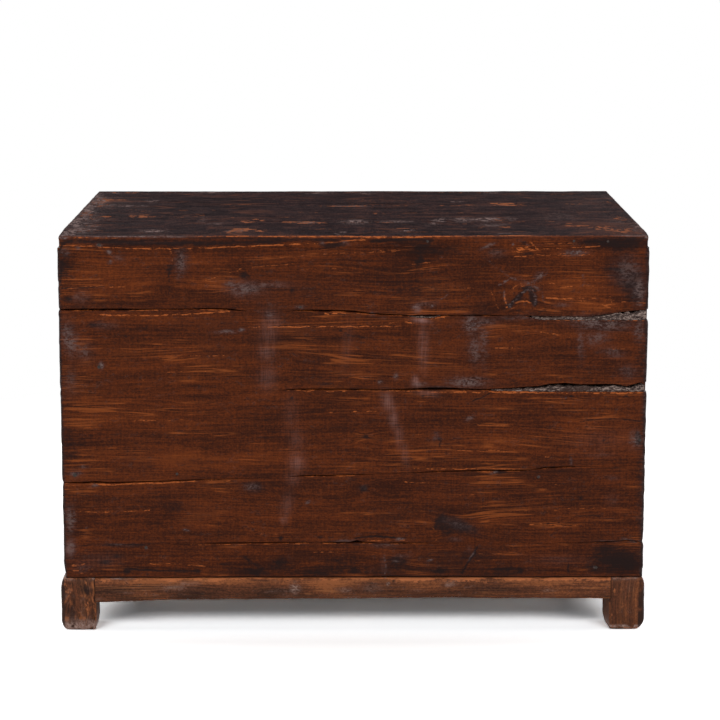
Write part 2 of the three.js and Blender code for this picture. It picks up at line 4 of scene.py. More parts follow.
import bpy
import numpy as np
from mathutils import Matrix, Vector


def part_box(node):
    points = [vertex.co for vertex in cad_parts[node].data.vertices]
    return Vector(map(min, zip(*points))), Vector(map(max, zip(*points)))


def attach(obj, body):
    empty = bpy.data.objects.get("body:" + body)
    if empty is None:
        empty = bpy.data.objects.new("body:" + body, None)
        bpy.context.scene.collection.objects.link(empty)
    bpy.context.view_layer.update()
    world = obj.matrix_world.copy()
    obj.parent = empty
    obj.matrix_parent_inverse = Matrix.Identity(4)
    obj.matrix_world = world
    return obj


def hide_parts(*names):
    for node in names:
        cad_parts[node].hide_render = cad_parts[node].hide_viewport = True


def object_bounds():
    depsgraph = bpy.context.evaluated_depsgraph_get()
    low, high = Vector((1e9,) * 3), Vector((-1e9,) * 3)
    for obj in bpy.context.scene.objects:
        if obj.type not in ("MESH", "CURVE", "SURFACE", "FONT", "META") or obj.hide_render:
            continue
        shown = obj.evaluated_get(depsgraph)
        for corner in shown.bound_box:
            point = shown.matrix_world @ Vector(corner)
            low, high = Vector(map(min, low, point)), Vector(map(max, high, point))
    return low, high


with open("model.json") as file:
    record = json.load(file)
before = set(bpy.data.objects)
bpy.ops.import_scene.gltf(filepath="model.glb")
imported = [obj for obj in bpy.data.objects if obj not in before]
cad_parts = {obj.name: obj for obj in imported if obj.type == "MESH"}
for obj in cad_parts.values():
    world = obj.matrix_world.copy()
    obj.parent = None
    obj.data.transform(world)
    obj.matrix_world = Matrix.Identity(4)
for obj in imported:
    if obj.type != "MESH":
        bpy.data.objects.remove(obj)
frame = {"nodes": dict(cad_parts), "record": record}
cad_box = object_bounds()
nodes = frame["nodes"]
bodies = frame["record"]["behaviour"]["bodies"]
body_of = {node: body for body, members in bodies.items() for node in members}
scene = bpy.context.scene
scene.view_settings.view_transform = "Standard"
bpy.ops.object.select_all(action="DESELECT")

MM = 0.001
SMOOTH_UNDER = math.radians(38)
BEVEL_OVER = math.radians(40)
# What a pixel of the photograph covers on the cabinet's back.
PIXEL = 1.487 * MM

# Camera, as the photograph was taken: almost square on to the plank back and a little above it.
PHOTO_SIDE = 720
PHOTO_MIDDLE = PHOTO_SIDE / 2
FOCAL_PIXELS = 2409
SENSOR_WIDTH = 36
CAMERA_PITCH = math.radians(10.211)
CAMERA_YAW = math.radians(0.265)
CAMERA_PLACE = np.array([-0.0068, -3.85523, 1.05499])
RIGHTWARD = np.array([math.cos(CAMERA_YAW), -math.sin(CAMERA_YAW), 0])
AHEAD = np.array([math.sin(CAMERA_YAW), math.cos(CAMERA_YAW), 0])
SIGHT = AHEAD * math.cos(CAMERA_PITCH) - np.array([0, 0, math.sin(CAMERA_PITCH)])
UPRIGHT = AHEAD * math.sin(CAMERA_PITCH) + np.array([0, 0, math.cos(CAMERA_PITCH)])

camera_data = bpy.data.cameras.new("camera")
camera_data.sensor_width = SENSOR_WIDTH
camera_data.lens = FOCAL_PIXELS / PHOTO_SIDE * SENSOR_WIDTH
camera_data.clip_end = 60
camera = bpy.data.objects.new("camera", camera_data)
camera.location = CAMERA_PLACE
camera.rotation_euler = (math.pi / 2 - CAMERA_PITCH, 0, -CAMERA_YAW)
scene.collection.objects.link(camera)
scene.camera = camera


def seen_at(points):
    """Where points of the cabinet fall in the photograph, in its pixels."""
    reach = np.asarray(points, float) - CAMERA_PLACE
    depth = reach @ SIGHT
    across = PHOTO_MIDDLE + FOCAL_PIXELS * (reach @ RIGHTWARD) / depth
    down = PHOTO_MIDDLE - FOCAL_PIXELS * (reach @ UPRIGHT) / depth
    return np.stack([across, down], -1)


def on_plane(pixels, axis, level):
    """The points of an upright or level plane that the photograph shows at these pixels."""
    pixels = np.asarray(pixels, float)
    across = (pixels[..., 0:1] - PHOTO_MIDDLE) / FOCAL_PIXELS
    down = (pixels[..., 1:2] - PHOTO_MIDDLE) / FOCAL_PIXELS
    rays = SIGHT + across * RIGHTWARD - down * UPRIGHT
    return CAMERA_PLACE + rays * (level - CAMERA_PLACE[axis]) / rays[..., axis : axis + 1]


def mottle(u, v, seed, octaves=3):
    """Soft unevenness between about -1 and 1, with one swell to each unit, the same each run."""
    side = 64
    total = np.zeros(np.broadcast(u, v).shape)
    weight = 1.0
    for octave in range(octaves):
        lattice = np.random.default_rng(seed * 17 + octave).uniform(-1, 1, (side, side))
        a = np.asarray(u) * 2**octave + 5.3 * octave
        b = np.asarray(v) * 2**octave + 2.7 * octave
        i, j = np.floor(a).astype(int), np.floor(b).astype(int)
        s, t = a - i, b - j
        s, t = s * s * (3 - 2 * s), t * t * (3 - 2 * t)
        i0, i1, j0, j1 = i % side, (i + 1) % side, j % side, (j + 1) % side
        low = lattice[i0, j0] * (1 - s) + lattice[i1, j0] * s
        high = lattice[i0, j1] * (1 - s) + lattice[i1, j1] * s
        total += weight * (low * (1 - t) + high * t)
        weight *= 0.5
    return total


# The joints between the back boards, from the top one down: across, the lower edge of the board
# above and the upper edge of the board below, in pixels of the photograph.
BACK_JOINTS = [
    [(57, 309.3, 310.4), (70, 308.9, 310.7), (80, 308.6, 310.9), (120, 308.6, 310.7), (142, 308.8, 310.3),
     (160, 308.9, 310.0), (190, 308.6, 309.9), (210, 308.0, 309.9), (230, 308.6, 310.5), (240, 310.2, 311.1),
     (250, 311.0, 311.5), (262, 313.0, 313.5), (285, 311.4, 311.8), (296, 310.0, 310.9), (312, 309.6, 311.6),
     (335, 309.9, 311.9), (355, 310.8, 312.6), (370, 313.1, 314.6), (385, 313.6, 315.3), (400, 314.6, 315.7),
     (410, 315.3, 317.0), (418, 315.0, 318.3), (432, 315.0, 318.3), (442, 315.1, 316.2), (462, 315.1, 315.9),
     (476, 314.6, 316.2), (494, 314.9, 316.0), (505, 315.3, 315.9), (525, 315.5, 316.1), (540, 316.2, 320.0),
     (590, 316.8, 320.6), (600, 315.3, 320.7), (620, 312.3, 320.6), (649, 309.3, 320.5)],
    [(57, 390.4, 390.7), (200, 390.2, 390.5), (280, 390.0, 390.4), (288, 389.5, 390.6), (300, 388.6, 390.2),
     (335, 388.5, 390.3), (366, 389.0, 390.4), (382, 389.4, 390.3), (398, 389.1, 390.9), (412, 388.5, 391.0),
     (430, 387.5, 391.0), (446, 387.5, 390.6), (462, 388.2, 390.4), (485, 389.3, 390.7), (510, 387.9, 391.4),
     (540, 385.9, 391.9), (550, 383.7, 391.9), (565, 382.9, 391.9), (580, 384.4, 391.9), (615, 383.9, 391.9),
     (627, 386.3, 391.9), (640, 382.4, 391.9), (649, 382.4, 391.9)],
    [(62, 482.1, 483.2), (78, 482.1, 483.5), (85, 481.9, 483.6), (97, 481.2, 483.8), (110, 482.3, 483.5),
     (126, 481.7, 483.3), (150, 481.2, 482.5), (181, 480.0, 481.3), (206, 479.3, 480.2), (230, 478.7, 479.4),
     (265, 477.7, 478.1), (286, 476.7, 477.1), (302, 475.4, 476.7), (318, 475.1, 476.5), (334, 475.0, 476.1),
     (350, 474.7, 475.8), (370, 473.9, 474.6), (400, 473.0, 473.5), (430, 471.6, 472.5), (440, 471.0, 472.2),
     (470, 470.3, 471.5), (500, 470.0, 471.6), (520, 470.2, 471.4), (530, 469.6, 470.3), (545, 467.3, 468.6),
     (560, 466.7, 467.9), (580, 466.5, 467.1), (646, 465.5, 465.9)],
    [(62, 545.8, 546.2), (90, 545.9, 546.3), (113, 545.3, 545.7), (142, 544.6, 544.9), (160, 544.2, 544.6),
     (200, 543.3, 543.8), (222, 542.7, 543.9), (240, 542.4, 543.7), (260, 542.3, 543.5), (300, 542.2, 543.3),
     (318, 542.8, 543.2), (330, 542.2, 543.6), (350, 541.8, 543.4), (357, 540.1, 543.5), (364, 541.8, 543.5),
     (382, 542.8, 543.7), (398, 542.4, 544.2), (414, 542.8, 543.8), (450, 543.2, 543.6), (520, 543.4, 543.8),
     (575, 542.5, 543.1), (590, 541.9, 542.6), (606, 541.3, 542.8), (620, 540.7, 541.7), (628, 539.7, 541.0),
     (643, 542.4, 543.1)],
]

# Marks on the photographed face, from the top board down and from left to right. Lines run
# through points of the photograph, with half their width in pixels and their strength: worn wood,
# dark cracks and stains, then pale scratches and rims.
WORN_LINES = [
    # Fifth board.
    ([(64, 287.6), (66, 296)], 0.8, 0.6), ([(66, 290), (80, 287), (96, 286)], 0.7, 0.5),
    ([(66, 237.5), (120, 238)], 0.9, 0.6), ([(96, 287.6), (120, 286.8), (140, 287)], 0.7, 0.6),
    ([(60, 245), (100, 247), (130, 248.5), (165, 249), (190, 248), (230, 247)], 0.9, 0.75),
    ([(170, 249), (172, 254), (173, 262)], 0.6, 0.6), ([(205, 281), (222, 275), (240, 270)], 0.7, 0.6),
    ([(240, 269), (262, 266), (300, 264)], 0.6, 0.5),
    ([(230, 247), (290, 244.5), (330, 242.5), (367, 239)], 0.8, 0.8),
    ([(300, 270), (340, 268.4)], 0.6, 0.5), ([(275, 258), (330, 254), (400, 251)], 0.7, 0.5),
    ([(380, 250), (410, 249)], 0.6, 0.5), ([(340, 237), (420, 237.2), (505, 236.8)], 1.0, 0.9),
    ([(412, 264), (432, 262), (450, 260)], 0.7, 0.5),
    ([(380, 288.6), (440, 288.2), (480, 288.8)], 0.5, 0.5),
    ([(492, 292), (494, 300), (498, 308)], 1.3, 0.4), ([(505, 292), (504.6, 299), (507, 307)], 1.3, 0.7),
    ([(510, 240), (513, 246), (512, 252)], 1.0, 0.6), ([(512, 292), (517, 287), (524, 284)], 2.4, 0.4),
    ([(514, 251.5), (524, 252.4)], 0.7, 0.7), ([(513, 288), (520, 284), (527, 284)], 1.6, 0.5),
    ([(512, 247), (520, 250), (528, 246.5)], 0.9, 0.9),
    ([(513, 303), (520, 301), (531, 302.5)], 1.4, 0.75), ([(512, 309), (524, 307), (536, 309)], 1.0, 0.5),
    ([(514, 257), (528, 256), (537, 257.2)], 0.8, 0.55),
    ([(514, 249.6), (530, 249.2), (545, 250.2)], 0.8, 0.7), ([(530, 242), (536, 247)], 1.2, 0.6),
    ([(540, 285), (546, 283), (556, 284)], 1.0, 0.5), ([(508, 247), (540, 249), (600, 246.5)], 0.8, 0.7),
    ([(515, 253), (545, 254.5), (590, 252)], 0.8, 0.6), ([(530, 257.5), (570, 258)], 0.7, 0.5),
    ([(541, 254.6), (560, 255.4), (590, 255)], 0.9, 0.8),
    ([(546, 297.6), (565, 299), (580, 298.4)], 1.0, 0.8),
    ([(545, 243.6), (575, 243), (600, 243.8)], 0.6, 0.5),
    ([(560, 287), (590, 285.4), (606, 287)], 0.8, 0.6),
    ([(560, 280.5), (590, 281), (612, 279.6)], 0.6, 0.5),
    ([(566, 300), (590, 298), (616, 300.5)], 0.9, 0.5), ([(574, 300), (600, 305), (622, 309)], 1.6, 0.35),
    ([(610, 296), (613, 305)], 1.0, 0.6), ([(600, 306), (625, 302), (646, 303)], 0.9, 0.6),
    ([(647.2, 262), (647.6, 268)], 0.8, 0.8),
    # Fourth board.
    ([(120, 380.5), (145, 380.3)], 0.6, 0.5),
    ([(100, 315), (145, 315.8), (200, 313.4), (230, 311.6)], 0.9, 0.8),
    ([(165, 372), (208, 371.6)], 0.6, 0.5), ([(190, 356), (225, 355.8)], 0.6, 0.6),
    ([(245, 327.6), (300, 327.0), (350, 326.8), (400, 326.4)], 0.6, 0.8),
    ([(325, 313.4), (345, 313.8)], 0.7, 0.8), ([(380, 324), (400, 322), (418, 323)], 0.9, 0.5),
    ([(432, 319), (444, 317), (448, 321)], 1.2, 0.7), ([(495, 348), (520, 348.4)], 0.6, 0.6),
    ([(500, 359.5), (520, 359.6)], 0.6, 0.5), ([(540, 332), (560, 335), (575, 338)], 0.7, 0.7),
    ([(542, 338), (560, 339.4), (578, 340.5)], 0.6, 0.5), ([(607, 349.5), (625, 349.3)], 0.6, 0.6),
    # Third board.
    ([(135, 420.8), (185, 420.4)], 0.6, 0.6), ([(325, 391.4), (345, 391.5)], 0.7, 0.8),
    ([(330, 412.8), (350, 411.8), (380, 411.4)], 0.6, 0.6),
    ([(300, 391.2), (400, 391.6), (480, 391.4)], 0.5, 0.4), ([(416, 435.5), (421, 435.6)], 0.9, 0.9),
    ([(425, 391.9), (500, 392)], 0.8, 0.85),
    ([(410, 468.6), (450, 469.2), (470, 468.6), (520, 469.0)], 0.7, 0.7),
    ([(450, 451), (490, 450.6), (525, 451.4)], 0.6, 0.6), ([(478, 425), (510, 425.2)], 0.5, 0.5),
    ([(545, 457), (560, 459)], 0.6, 0.6), ([(500, 392.6), (640, 393)], 0.8, 0.8),
    ([(520, 392.6), (580, 392.8), (645, 392.4)], 0.8, 0.7),
    # Second board.
    ([(75, 511), (100, 512.5), (150, 510.5)], 0.7, 0.6),
    ([(64, 485.2), (95, 485.6), (150, 483.6), (230, 480.6)], 0.7, 0.6),
    ([(85, 484.9), (110, 484.6), (158, 482.9), (195, 481.6)], 0.7, 0.85),
    ([(210, 495), (222, 487), (250, 492)], 0.7, 0.3), ([(220, 519), (245, 519.3)], 0.6, 0.5),
    ([(260, 534), (285, 533.6)], 0.6, 0.5), ([(362, 480), (366, 486), (372, 494)], 0.7, 0.35),
    ([(360, 540.6), (400, 540.4), (405, 539.8)], 0.8, 0.6),
    ([(405, 482), (415, 482.6), (430, 483.4)], 0.6, 0.7),
    ([(435, 516), (433, 525), (436, 540)], 1.0, 0.4), ([(455, 494), (480, 495)], 0.6, 0.5),
    ([(493, 520), (494, 528), (490, 536)], 0.9, 0.4),
    ([(500, 510.5), (560, 511), (600, 510.4)], 0.6, 0.4), ([(555, 484.6), (560, 484.8)], 0.7, 0.6),
    ([(530, 524), (560, 525.4), (585, 524.6)], 0.7, 0.7), ([(560, 509), (610, 508.4)], 0.6, 0.6),
    # First board.
    ([(73, 566), (84, 564)], 1.6, 0.55), ([(74, 570.5), (92, 569)], 1.8, 0.6),
    ([(80, 574), (96, 573.4)], 1.3, 0.55), ([(150, 564), (185, 564.4), (205, 566)], 0.6, 0.7),
    ([(190, 544.6), (300, 544.2)], 0.5, 0.6), ([(310, 552), (345, 552.6)], 0.6, 0.5),
    ([(476, 560.6), (495, 560.4)], 0.6, 0.6), ([(470, 554.5), (505, 553.6), (520, 553.8)], 0.6, 0.6),
    ([(600, 555), (615, 550), (628, 546)], 0.7, 0.4),
]
DARK_LINES = [
    # Fifth board.
    ([(62, 262), (60, 285)], 1.6, 0.6), ([(60, 252), (62, 244), (72, 241)], 1.5, 0.7),
    ([(62, 288), (85, 287.4), (105, 287)], 0.6, 0.8), ([(169, 272), (169.5, 284), (169, 295)], 0.9, 0.5),
    ([(190, 238.2), (300, 238.4), (360, 238.8)], 0.9, 0.6),
    ([(372, 241), (400, 240), (432, 240)], 2.4, 0.75), ([(432, 238.4), (480, 238)], 0.7, 0.4),
    ([(510, 306), (515, 300), (521, 294), (527, 288)], 2.3, 0.95),
    ([(523, 288), (530, 287), (536, 291)], 1.4, 0.8), ([(530, 291), (532, 298), (535, 304)], 2.6, 0.9),
    ([(480, 237.6), (560, 237), (646, 237.6)], 1.0, 0.7),
    ([(605, 269), (612, 268), (622, 270)], 2.4, 0.6),
    # Fourth board.
    ([(58, 242), (58.6, 290), (60, 360), (61.8, 400), (64, 480), (66, 572)], 1.1, 0.5),
    ([(245, 326), (320, 325.6), (400, 325)], 0.5, 0.5), ([(345, 334), (360, 337), (385, 340)], 1.6, 0.5),
    ([(517, 311), (530, 312.6), (545, 311)], 1.6, 0.5),
    # Third board.
    ([(250, 451), (330, 450.5), (380, 451)], 0.5, 0.3), ([(365, 437), (375, 439), (388, 440)], 1.2, 0.5),
    ([(438, 438), (440.5, 441), (440, 446)], 0.9, 0.8), ([(430, 450), (480, 449.4)], 0.5, 0.3),
    ([(472, 401.5), (480, 398), (489, 394)], 0.8, 0.9), ([(540, 467), (575, 466.4)], 1.1, 0.5),
    ([(580, 422), (595, 419.6), (610, 418.5), (640, 421)], 0.8, 0.7),
    ([(638, 433), (638.5, 438), (638, 443)], 2.0, 0.8),
    ([(648.4, 242), (648.2, 290), (647, 345), (646.4, 390), (644.6, 470), (642.6, 545),
       (641, 575)], 1.5, 0.75),
    # Second board.
    ([(95, 498), (99, 507), (103, 516)], 0.7, 0.4), ([(218, 520), (219, 528), (219, 538)], 0.9, 0.5),
    ([(355, 538.6), (362, 537), (375, 536.4), (395, 537)], 1.2, 0.9),
    ([(575, 515.4), (600, 515.8)], 0.9, 0.6), ([(580, 493), (590, 490), (594, 485)], 0.7, 0.5),
    # First board.
    ([(80, 545.8), (100, 545.6), (150, 544.2)], 1.2, 0.5),
    ([(130, 569), (160, 570.4), (200, 571)], 0.8, 0.9), ([(245, 557), (250, 562), (262, 567)], 2.4, 0.5),
    ([(462, 573), (468, 563), (474, 554), (477, 547)], 0.9, 0.9), ([(568, 565), (569, 572)], 1.0, 0.8),
]
HAZE_LINES = [
    ([(440, 257), (448, 260)], 0.7, 0.5), ([(441, 300), (448, 294)], 1.0, 0.45),
    ([(448, 266), (452, 262)], 0.8, 0.4), ([(478, 249), (486, 247), (495, 243)], 1.0, 0.6),
    ([(490, 262), (497, 268), (508, 276)], 1.2, 0.35), ([(504, 311), (506, 306), (505, 297)], 0.6, 0.5),
    ([(504, 292), (505, 302), (512, 309)], 1.4, 0.5),
    ([(500, 285), (510, 279), (522, 280), (532, 284)], 1.6, 0.55),
    ([(509, 307), (514, 301), (519, 295), (525, 290.4), (532, 290.4)], 1.5, 0.8),
    ([(513, 244), (517, 240), (525, 241), (528, 245)], 1.3, 0.6),
    ([(520, 283), (530, 284), (538, 288)], 0.7, 0.6), ([(533, 292), (536, 299), (534, 305)], 1.5, 0.7),
    ([(533, 282), (540, 276), (546, 272)], 2.6, 0.7), ([(536, 288), (542, 292), (543, 300)], 1.2, 0.4),
    ([(583, 275), (584, 282), (581, 287)], 1.2, 0.5), ([(610, 541), (625, 540), (642, 541.5)], 0.9, 0.7),
    ([(384, 555), (386, 564), (385, 574)], 0.7, 0.6),
]
# Lighter and darker fields: middle, half sizes and how much.
SHADE_PATCHES = [
    # Fifth board.
    ((62, 259), (14, 15), -0.22), ((110, 305), (50, 5), -0.14), ((122, 274), (38, 16), 0.16),
    ((169, 271), (10, 14), -0.08), ((237, 268), (22, 12), -0.08), ((325, 304), (50, 6), 0.08),
    ((362, 278), (90, 14), -0.08), ((375, 262), (50, 4), 0.08), ((419, 249), (34, 9), -0.26),
    ((480, 285), (24, 20), -0.06), ((518, 288), (16, 10), 0.16), ((518, 250), (14, 6), 0.16),
    ((544, 256), (22, 6), 0.12), ((574, 290), (34, 14), 0.34), ((596, 307), (36, 6), 0.4),
    ((606, 244), (42, 6), -0.34), ((620, 270), (18, 18), -0.26), ((620, 300), (20, 5), -0.2),
    # Fourth board.
    ((69, 346), (16, 9), 0.10), ((144, 332), (60, 8), -0.12), ((146, 318), (60, 3), 0.12),
    ((300, 330), (60, 3), 0.08), ((319, 376), (40, 6), -0.14), ((337, 337), (70, 6), -0.16),
    ((440, 375), (36, 12), 0.06), ((460, 352), (30, 12), 0.06), ((545, 331), (50, 5), 0.10),
    ((545, 370), (60, 12), 0.07), ((550, 340), (40, 9), -0.14),
    # Third board.
    ((120, 420), (60, 22), 0.05), ((178, 459), (32, 15), 0.26), ((256, 455), (60, 12), 0.12),
    ((375, 424), (22, 9), -0.08), ((437, 421), (30, 9), -0.06), ((497, 440), (15, 10), 0.14),
    ((500, 472), (80, 6), -0.10), ((578, 427), (24, 12), 0.14), ((628, 440), (14, 12), 0.16),
    # Second board.
    ((87, 518), (22, 18), -0.10), ((169, 515), (14, 22), -0.14), ((200, 512), (22, 14), 0.10),
    ((287, 518), (24, 12), 0.08), ((325, 490), (120, 11), -0.08), ((487, 502), (60, 10), 0.02),
    # First board.
    ((106, 559), (50, 11), -0.14), ((262, 565), (40, 8), -0.16), ((350, 566), (40, 6), -0.12),
    ((400, 559), (22, 8), 0.06), ((487, 557), (90, 9), -0.08), ((622, 561), (32, 11), -0.30),
    # Apron.
    ((162, 582), (40, 3), 0.14), ((325, 582), (40, 3), 0.16), ((562, 583), (46, 3), 0.16),
]
# Patches: middle, half width and half height in pixels, strength, and any turn in degrees.
DARK_PATCHES = [
    # Fifth board.
    ((65, 264), (9, 22), 0.5), ((68, 299), (7, 4), 0.9), ((110, 242), (52, 3.4), 0.75),
    ((170, 268), (4, 8), 0.6), ((181, 260), (8, 15), 0.5), ((185, 243), (60, 3.6), 0.8),
    ((245, 276), (4.6, 3.4), 0.95), ((255, 288), (24, 8), 0.4), ((262, 241.4), (44, 2.6), 0.75, -2),
    ((292, 290), (2, 2), 0.8), ((300, 290), (44, 7), 0.25), ((325, 239.6), (26, 1.5), 0.6, -2),
    ((330, 262), (300, 26), 0.14), ((333, 245), (12, 3.2), 1.0, -4), ((400, 285), (60, 30), 0.30),
    ((420, 260), (5, 9), 0.55, 10), ((421, 246), (16, 5), 0.6), ((430, 251), (30, 3), 0.4, -4),
    ((430, 292), (34, 12), 0.25), ((450, 250), (24, 9), 0.25), ((497, 252), (11, 5), 0.45),
    ((520, 299), (4, 3), 0.5, -30), ((524, 243), (5, 2.4), 0.7), ((528, 253.4), (9, 2), 0.7),
    ((534, 299), (3.4, 6), 0.6, 10), ((560, 300), (50, 12), 0.2), ((607, 241.5), (40, 3.6), 0.85),
    ((624, 247), (28, 7), 0.6), ((634, 288), (18, 20), 0.75),
    # Fourth board.
    ((70, 340), (7, 20), 0.35), ((93, 325), (6, 5), 0.5), ((126, 336), (1.8, 1.6), 0.7),
    ((147, 326), (1.8, 1.6), 0.7), ((241, 330), (2.2, 2), 0.8), ((322, 380), (24, 8), 0.45),
    ((340, 330), (2.4, 2), 0.8), ((472, 382), (20, 8), 0.4), ((477, 362), (8, 14), 0.3),
    ((480, 333), (14, 13), 0.35), ((600, 330), (34, 8), 0.25), ((641, 360), (5, 30), 0.55),
    # Third board.
    ((66, 440), (5, 36), 0.3), ((74, 448), (14, 26), 0.4), ((292, 398), (2.4, 2), 0.9),
    ((365, 437), (4.5, 3.6), 0.75), ((423, 396), (2, 1.5), 0.8), ((500, 472), (9, 2.6), 0.8),
    ((571, 396), (2.2, 1.8), 0.8), ((604, 440), (2, 2), 0.7), ((620, 466), (10, 9), 0.4),
    ((626, 396), (2.4, 2), 0.8), ((638, 438), (5, 7), 0.6),
    # Second board.
    ((66, 520), (5, 40), 0.35), ((120, 500), (40, 30), 0.15), ((175, 507), (18, 9), 0.45),
    ((250, 480), (40, 20), 0.18), ((255, 488), (10, 5), 0.4), ((281, 538), (2.6, 4), 0.8, 20),
    ((300, 505), (26, 8), 0.3), ((320, 537.6), (4, 1.8), 0.8), ((354, 479), (6, 4), 0.5),
    ((364, 489), (5, 3.5), 0.85), ((440, 521), (9, 5), 0.8, -40), ((446, 532), (12, 7), 0.6, 30),
    ((460, 527), (24, 8), 0.8, 14), ((486, 505), (1.4, 1.2), 0.7), ((493, 498.6), (1.6, 1.4), 0.9),
    ((509, 507), (4, 2.5), 0.5), ((520, 536), (26, 6), 0.25), ((548, 523), (2.4, 2), 0.7),
    ((559, 523), (1.4, 1.2), 0.9), ((581, 498), (3, 2), 0.7), ((640, 480), (6, 60), 0.5),
    # First board.
    ((106, 562), (7, 4), 0.6, -20), ((117, 556), (5, 3), 0.6), ((127, 571), (4, 3), 0.9),
    ((197, 571), (4, 2), 0.8), ((256, 573), (8, 4), 0.85), ((279, 563), (9, 6), 0.6, -10),
    # Painted shade: the two patches at (350, 571) and (350, 560) darken the whole first board, most along its
    # lower edge.
    ((318, 574), (22, 3.5), 0.5), ((336, 563), (22, 7), 0.35), ((350, 571), (290, 5), 0.4),
    ((350, 560), (330, 13), 0.26), ((354, 570), (4, 3), 0.9), ((397, 562), (11, 6), 0.7),
    ((440, 571), (6, 3), 0.8), ((470, 556), (30, 5), 0.4), ((506, 569), (16, 5), 0.5),
    ((520, 571), (3, 3), 0.9), ((594, 568), (6, 5), 0.6), ((603, 548), (10, 5), 0.55),
    ((606, 557), (24, 11), 0.5), ((625, 560), (22, 13), 0.85),
]
HAZE_PATCHES = [
    # Fifth board.
    ((64, 237.4), (5, 1.6), 0.9), ((66, 252), (5, 5), 0.4), ((78, 248), (3, 2), 0.5),
    ((80, 297), (10, 8), 0.3), ((99, 245), (3.4, 2), 0.7), ((109, 252), (3, 2.4), 0.7),
    ((110, 262), (2.6, 3), 0.5), ((118, 258), (8, 4), 0.3), ((130, 236.8), (70, 0.9), 0.75),
    ((140, 242.6), (80, 2.2), 0.12), ((180, 275), (5, 8), 0.3), ((181, 262), (7, 14), 0.5),
    ((232, 284), (10, 5), 0.45), ((245, 289), (20, 9), 0.5), ((268, 285), (24, 4), 0.4),
    ((300, 307), (6, 2), 0.6), ((322, 243), (3, 3), 0.4), ((345, 243), (5, 3), 0.4),
    ((417, 308), (4, 5), 0.7), ((425, 304), (14, 5), 0.3), ((432, 306), (2.4, 2), 0.6),
    ((488, 246), (10, 2), 0.5, -25), ((496, 253), (12, 5), 0.3), ((530, 286), (14, 5), 0.25, 20),
    ((534, 290), (1.4, 1), 1.0), ((538, 277), (6, 4), 0.5, -40), ((562, 305), (10, 3), 0.3),
    ((575, 253), (12, 3), 0.75), ((628, 272), (16, 18), 0.4), ((638, 305), (5, 1), 0.6),
    ((640, 290), (8, 18), 0.55), ((648, 237.4), (3, 1.6), 0.9),
    # Fourth board.
    ((69, 340), (9, 20), 0.55, -15), ((70, 382), (8, 18), 0.3), ((84, 352), (10, 12), 0.35, -20),
    ((101, 366), (3, 4), 0.8), ((105, 325), (16, 5), 0.25), ((226, 332), (14, 2), 0.5),
    ((241, 330), (4, 2), 0.7), ((270, 316), (5, 5), 0.4), ((372, 314), (3, 2), 0.7),
    ((380, 382), (3, 3), 0.6), ((396, 376), (3, 4), 0.5), ((420, 384), (10, 3), 0.4),
    ((440, 388), (20, 3), 0.3), ((468, 382), (24, 6), 0.6), ((472, 325), (9, 9), 0.8),
    ((475, 350), (7, 16), 0.5), ((478, 322), (20, 5), 0.45), ((484, 342), (5, 30), 0.35),
    ((520, 318), (30, 3), 0.3), ((581, 343), (4, 20), 0.4), ((596, 338), (16, 8), 0.4, -10),
    ((600, 323), (32, 8), 0.6, 4), ((612, 352), (14, 6), 0.4, 10), ((628, 372), (10, 8), 0.35),
    ((640, 330), (7, 14), 0.45),
    # Third board.
    ((75, 474), (7, 4), 0.55), ((84, 467), (5, 2.4), 0.4), ((177, 474), (1.2, 1.2), 0.8),
    ((436, 436), (4, 5), 0.35), ((470, 418), (6, 3), 0.5, -30), ((494, 472.6), (5, 1.6), 0.7, -25),
    ((566, 397.5), (1, 1), 1.0), ((571, 461), (1.6, 4), 0.5), ((600, 455), (20, 3), 0.2),
    ((636, 440), (8, 10), 0.5),
    # Second board.
    ((63, 540), (2, 30), 0.6), ((70, 520), (6, 16), 0.55), ((86.5, 528), (1.2, 1), 0.9),
    ((95, 485.4), (4, 1.6), 0.6), ((186, 529.6), (3.4, 1.2), 0.9, 10), ((252, 487), (9, 5), 0.5),
    ((308, 502), (3, 2), 0.7, -30), ((345, 541), (14, 2), 0.4), ((364, 488), (6, 4), 0.2, -20),
    ((400, 539), (5, 2), 0.7), ((455, 539), (9, 3), 0.25), ((458, 524), (20, 6), 0.3, 20),
    ((538.5, 477.4), (1.4, 1.2), 1.0), ((609, 541), (14, 1), 0.6), ((612, 500), (8, 7), 0.2),
    ((614, 478), (6, 3), 0.25), ((630, 540.4), (8, 1.2), 0.7, 20),
    # First board.
    ((70, 548), (6, 10), 0.6), ((82, 568), (10, 5), 0.3), ((120, 545), (20, 2), 0.35),
    ((146, 548), (1.6, 2), 0.8), ((384, 545), (16, 3), 0.35), ((396, 561), (5, 1.4), 0.4),
    ((402, 556), (10, 2.4), 0.3), ((430, 560.5), (3.4, 1.2), 0.7, -20), ((469, 549), (3, 5), 0.2),
    ((471.5, 556), (1, 7), 0.6, 32), ((560, 560), (30, 6), 0.2), ((594.5, 567.6), (1.4, 1.2), 0.9),
]
# Soft pale runs down the boards, smooth where the haze is crumbly.
SMEAR_PATCHES = [
    ((417, 308), (4, 4), 0.4), ((267, 352), (8, 10), 0.26), ((267, 378), (9, 12), 0.2),
    ((269, 330), (9, 20), 0.2, 2), ((274, 322), (7, 8), 0.2), ((347, 345), (6, 22), 0.08, 6),
    ((416, 382), (3.6, 6), 0.6, -12), ((421, 320.5), (9, 3), 0.6, 10), ((423, 346), (5.5, 24), 0.24),
    ((291, 415), (8, 22), 0.08), ((296, 440), (8, 14), 0.12), ((297, 462), (8, 11), 0.28),
    ((388, 402), (6, 11), 0.34, -16), ((393, 418), (5, 12), 0.28, -12), ((399, 436), (5, 14), 0.2, -10),
    ((405, 455), (4, 12), 0.16, -6), ((427, 393), (11, 3.4), 0.3, 10), ((600, 440), (30, 10), 0.06),
    ((284, 520), (4, 5), 0.2), ((287, 505), (6, 14), 0.16, 8), ((293, 478), (7, 8), 0.16),
    ((70, 548), (5, 7), 0.3), ((100, 560), (24, 8), 0.08), ((384, 565), (3, 10), 0.12),
]
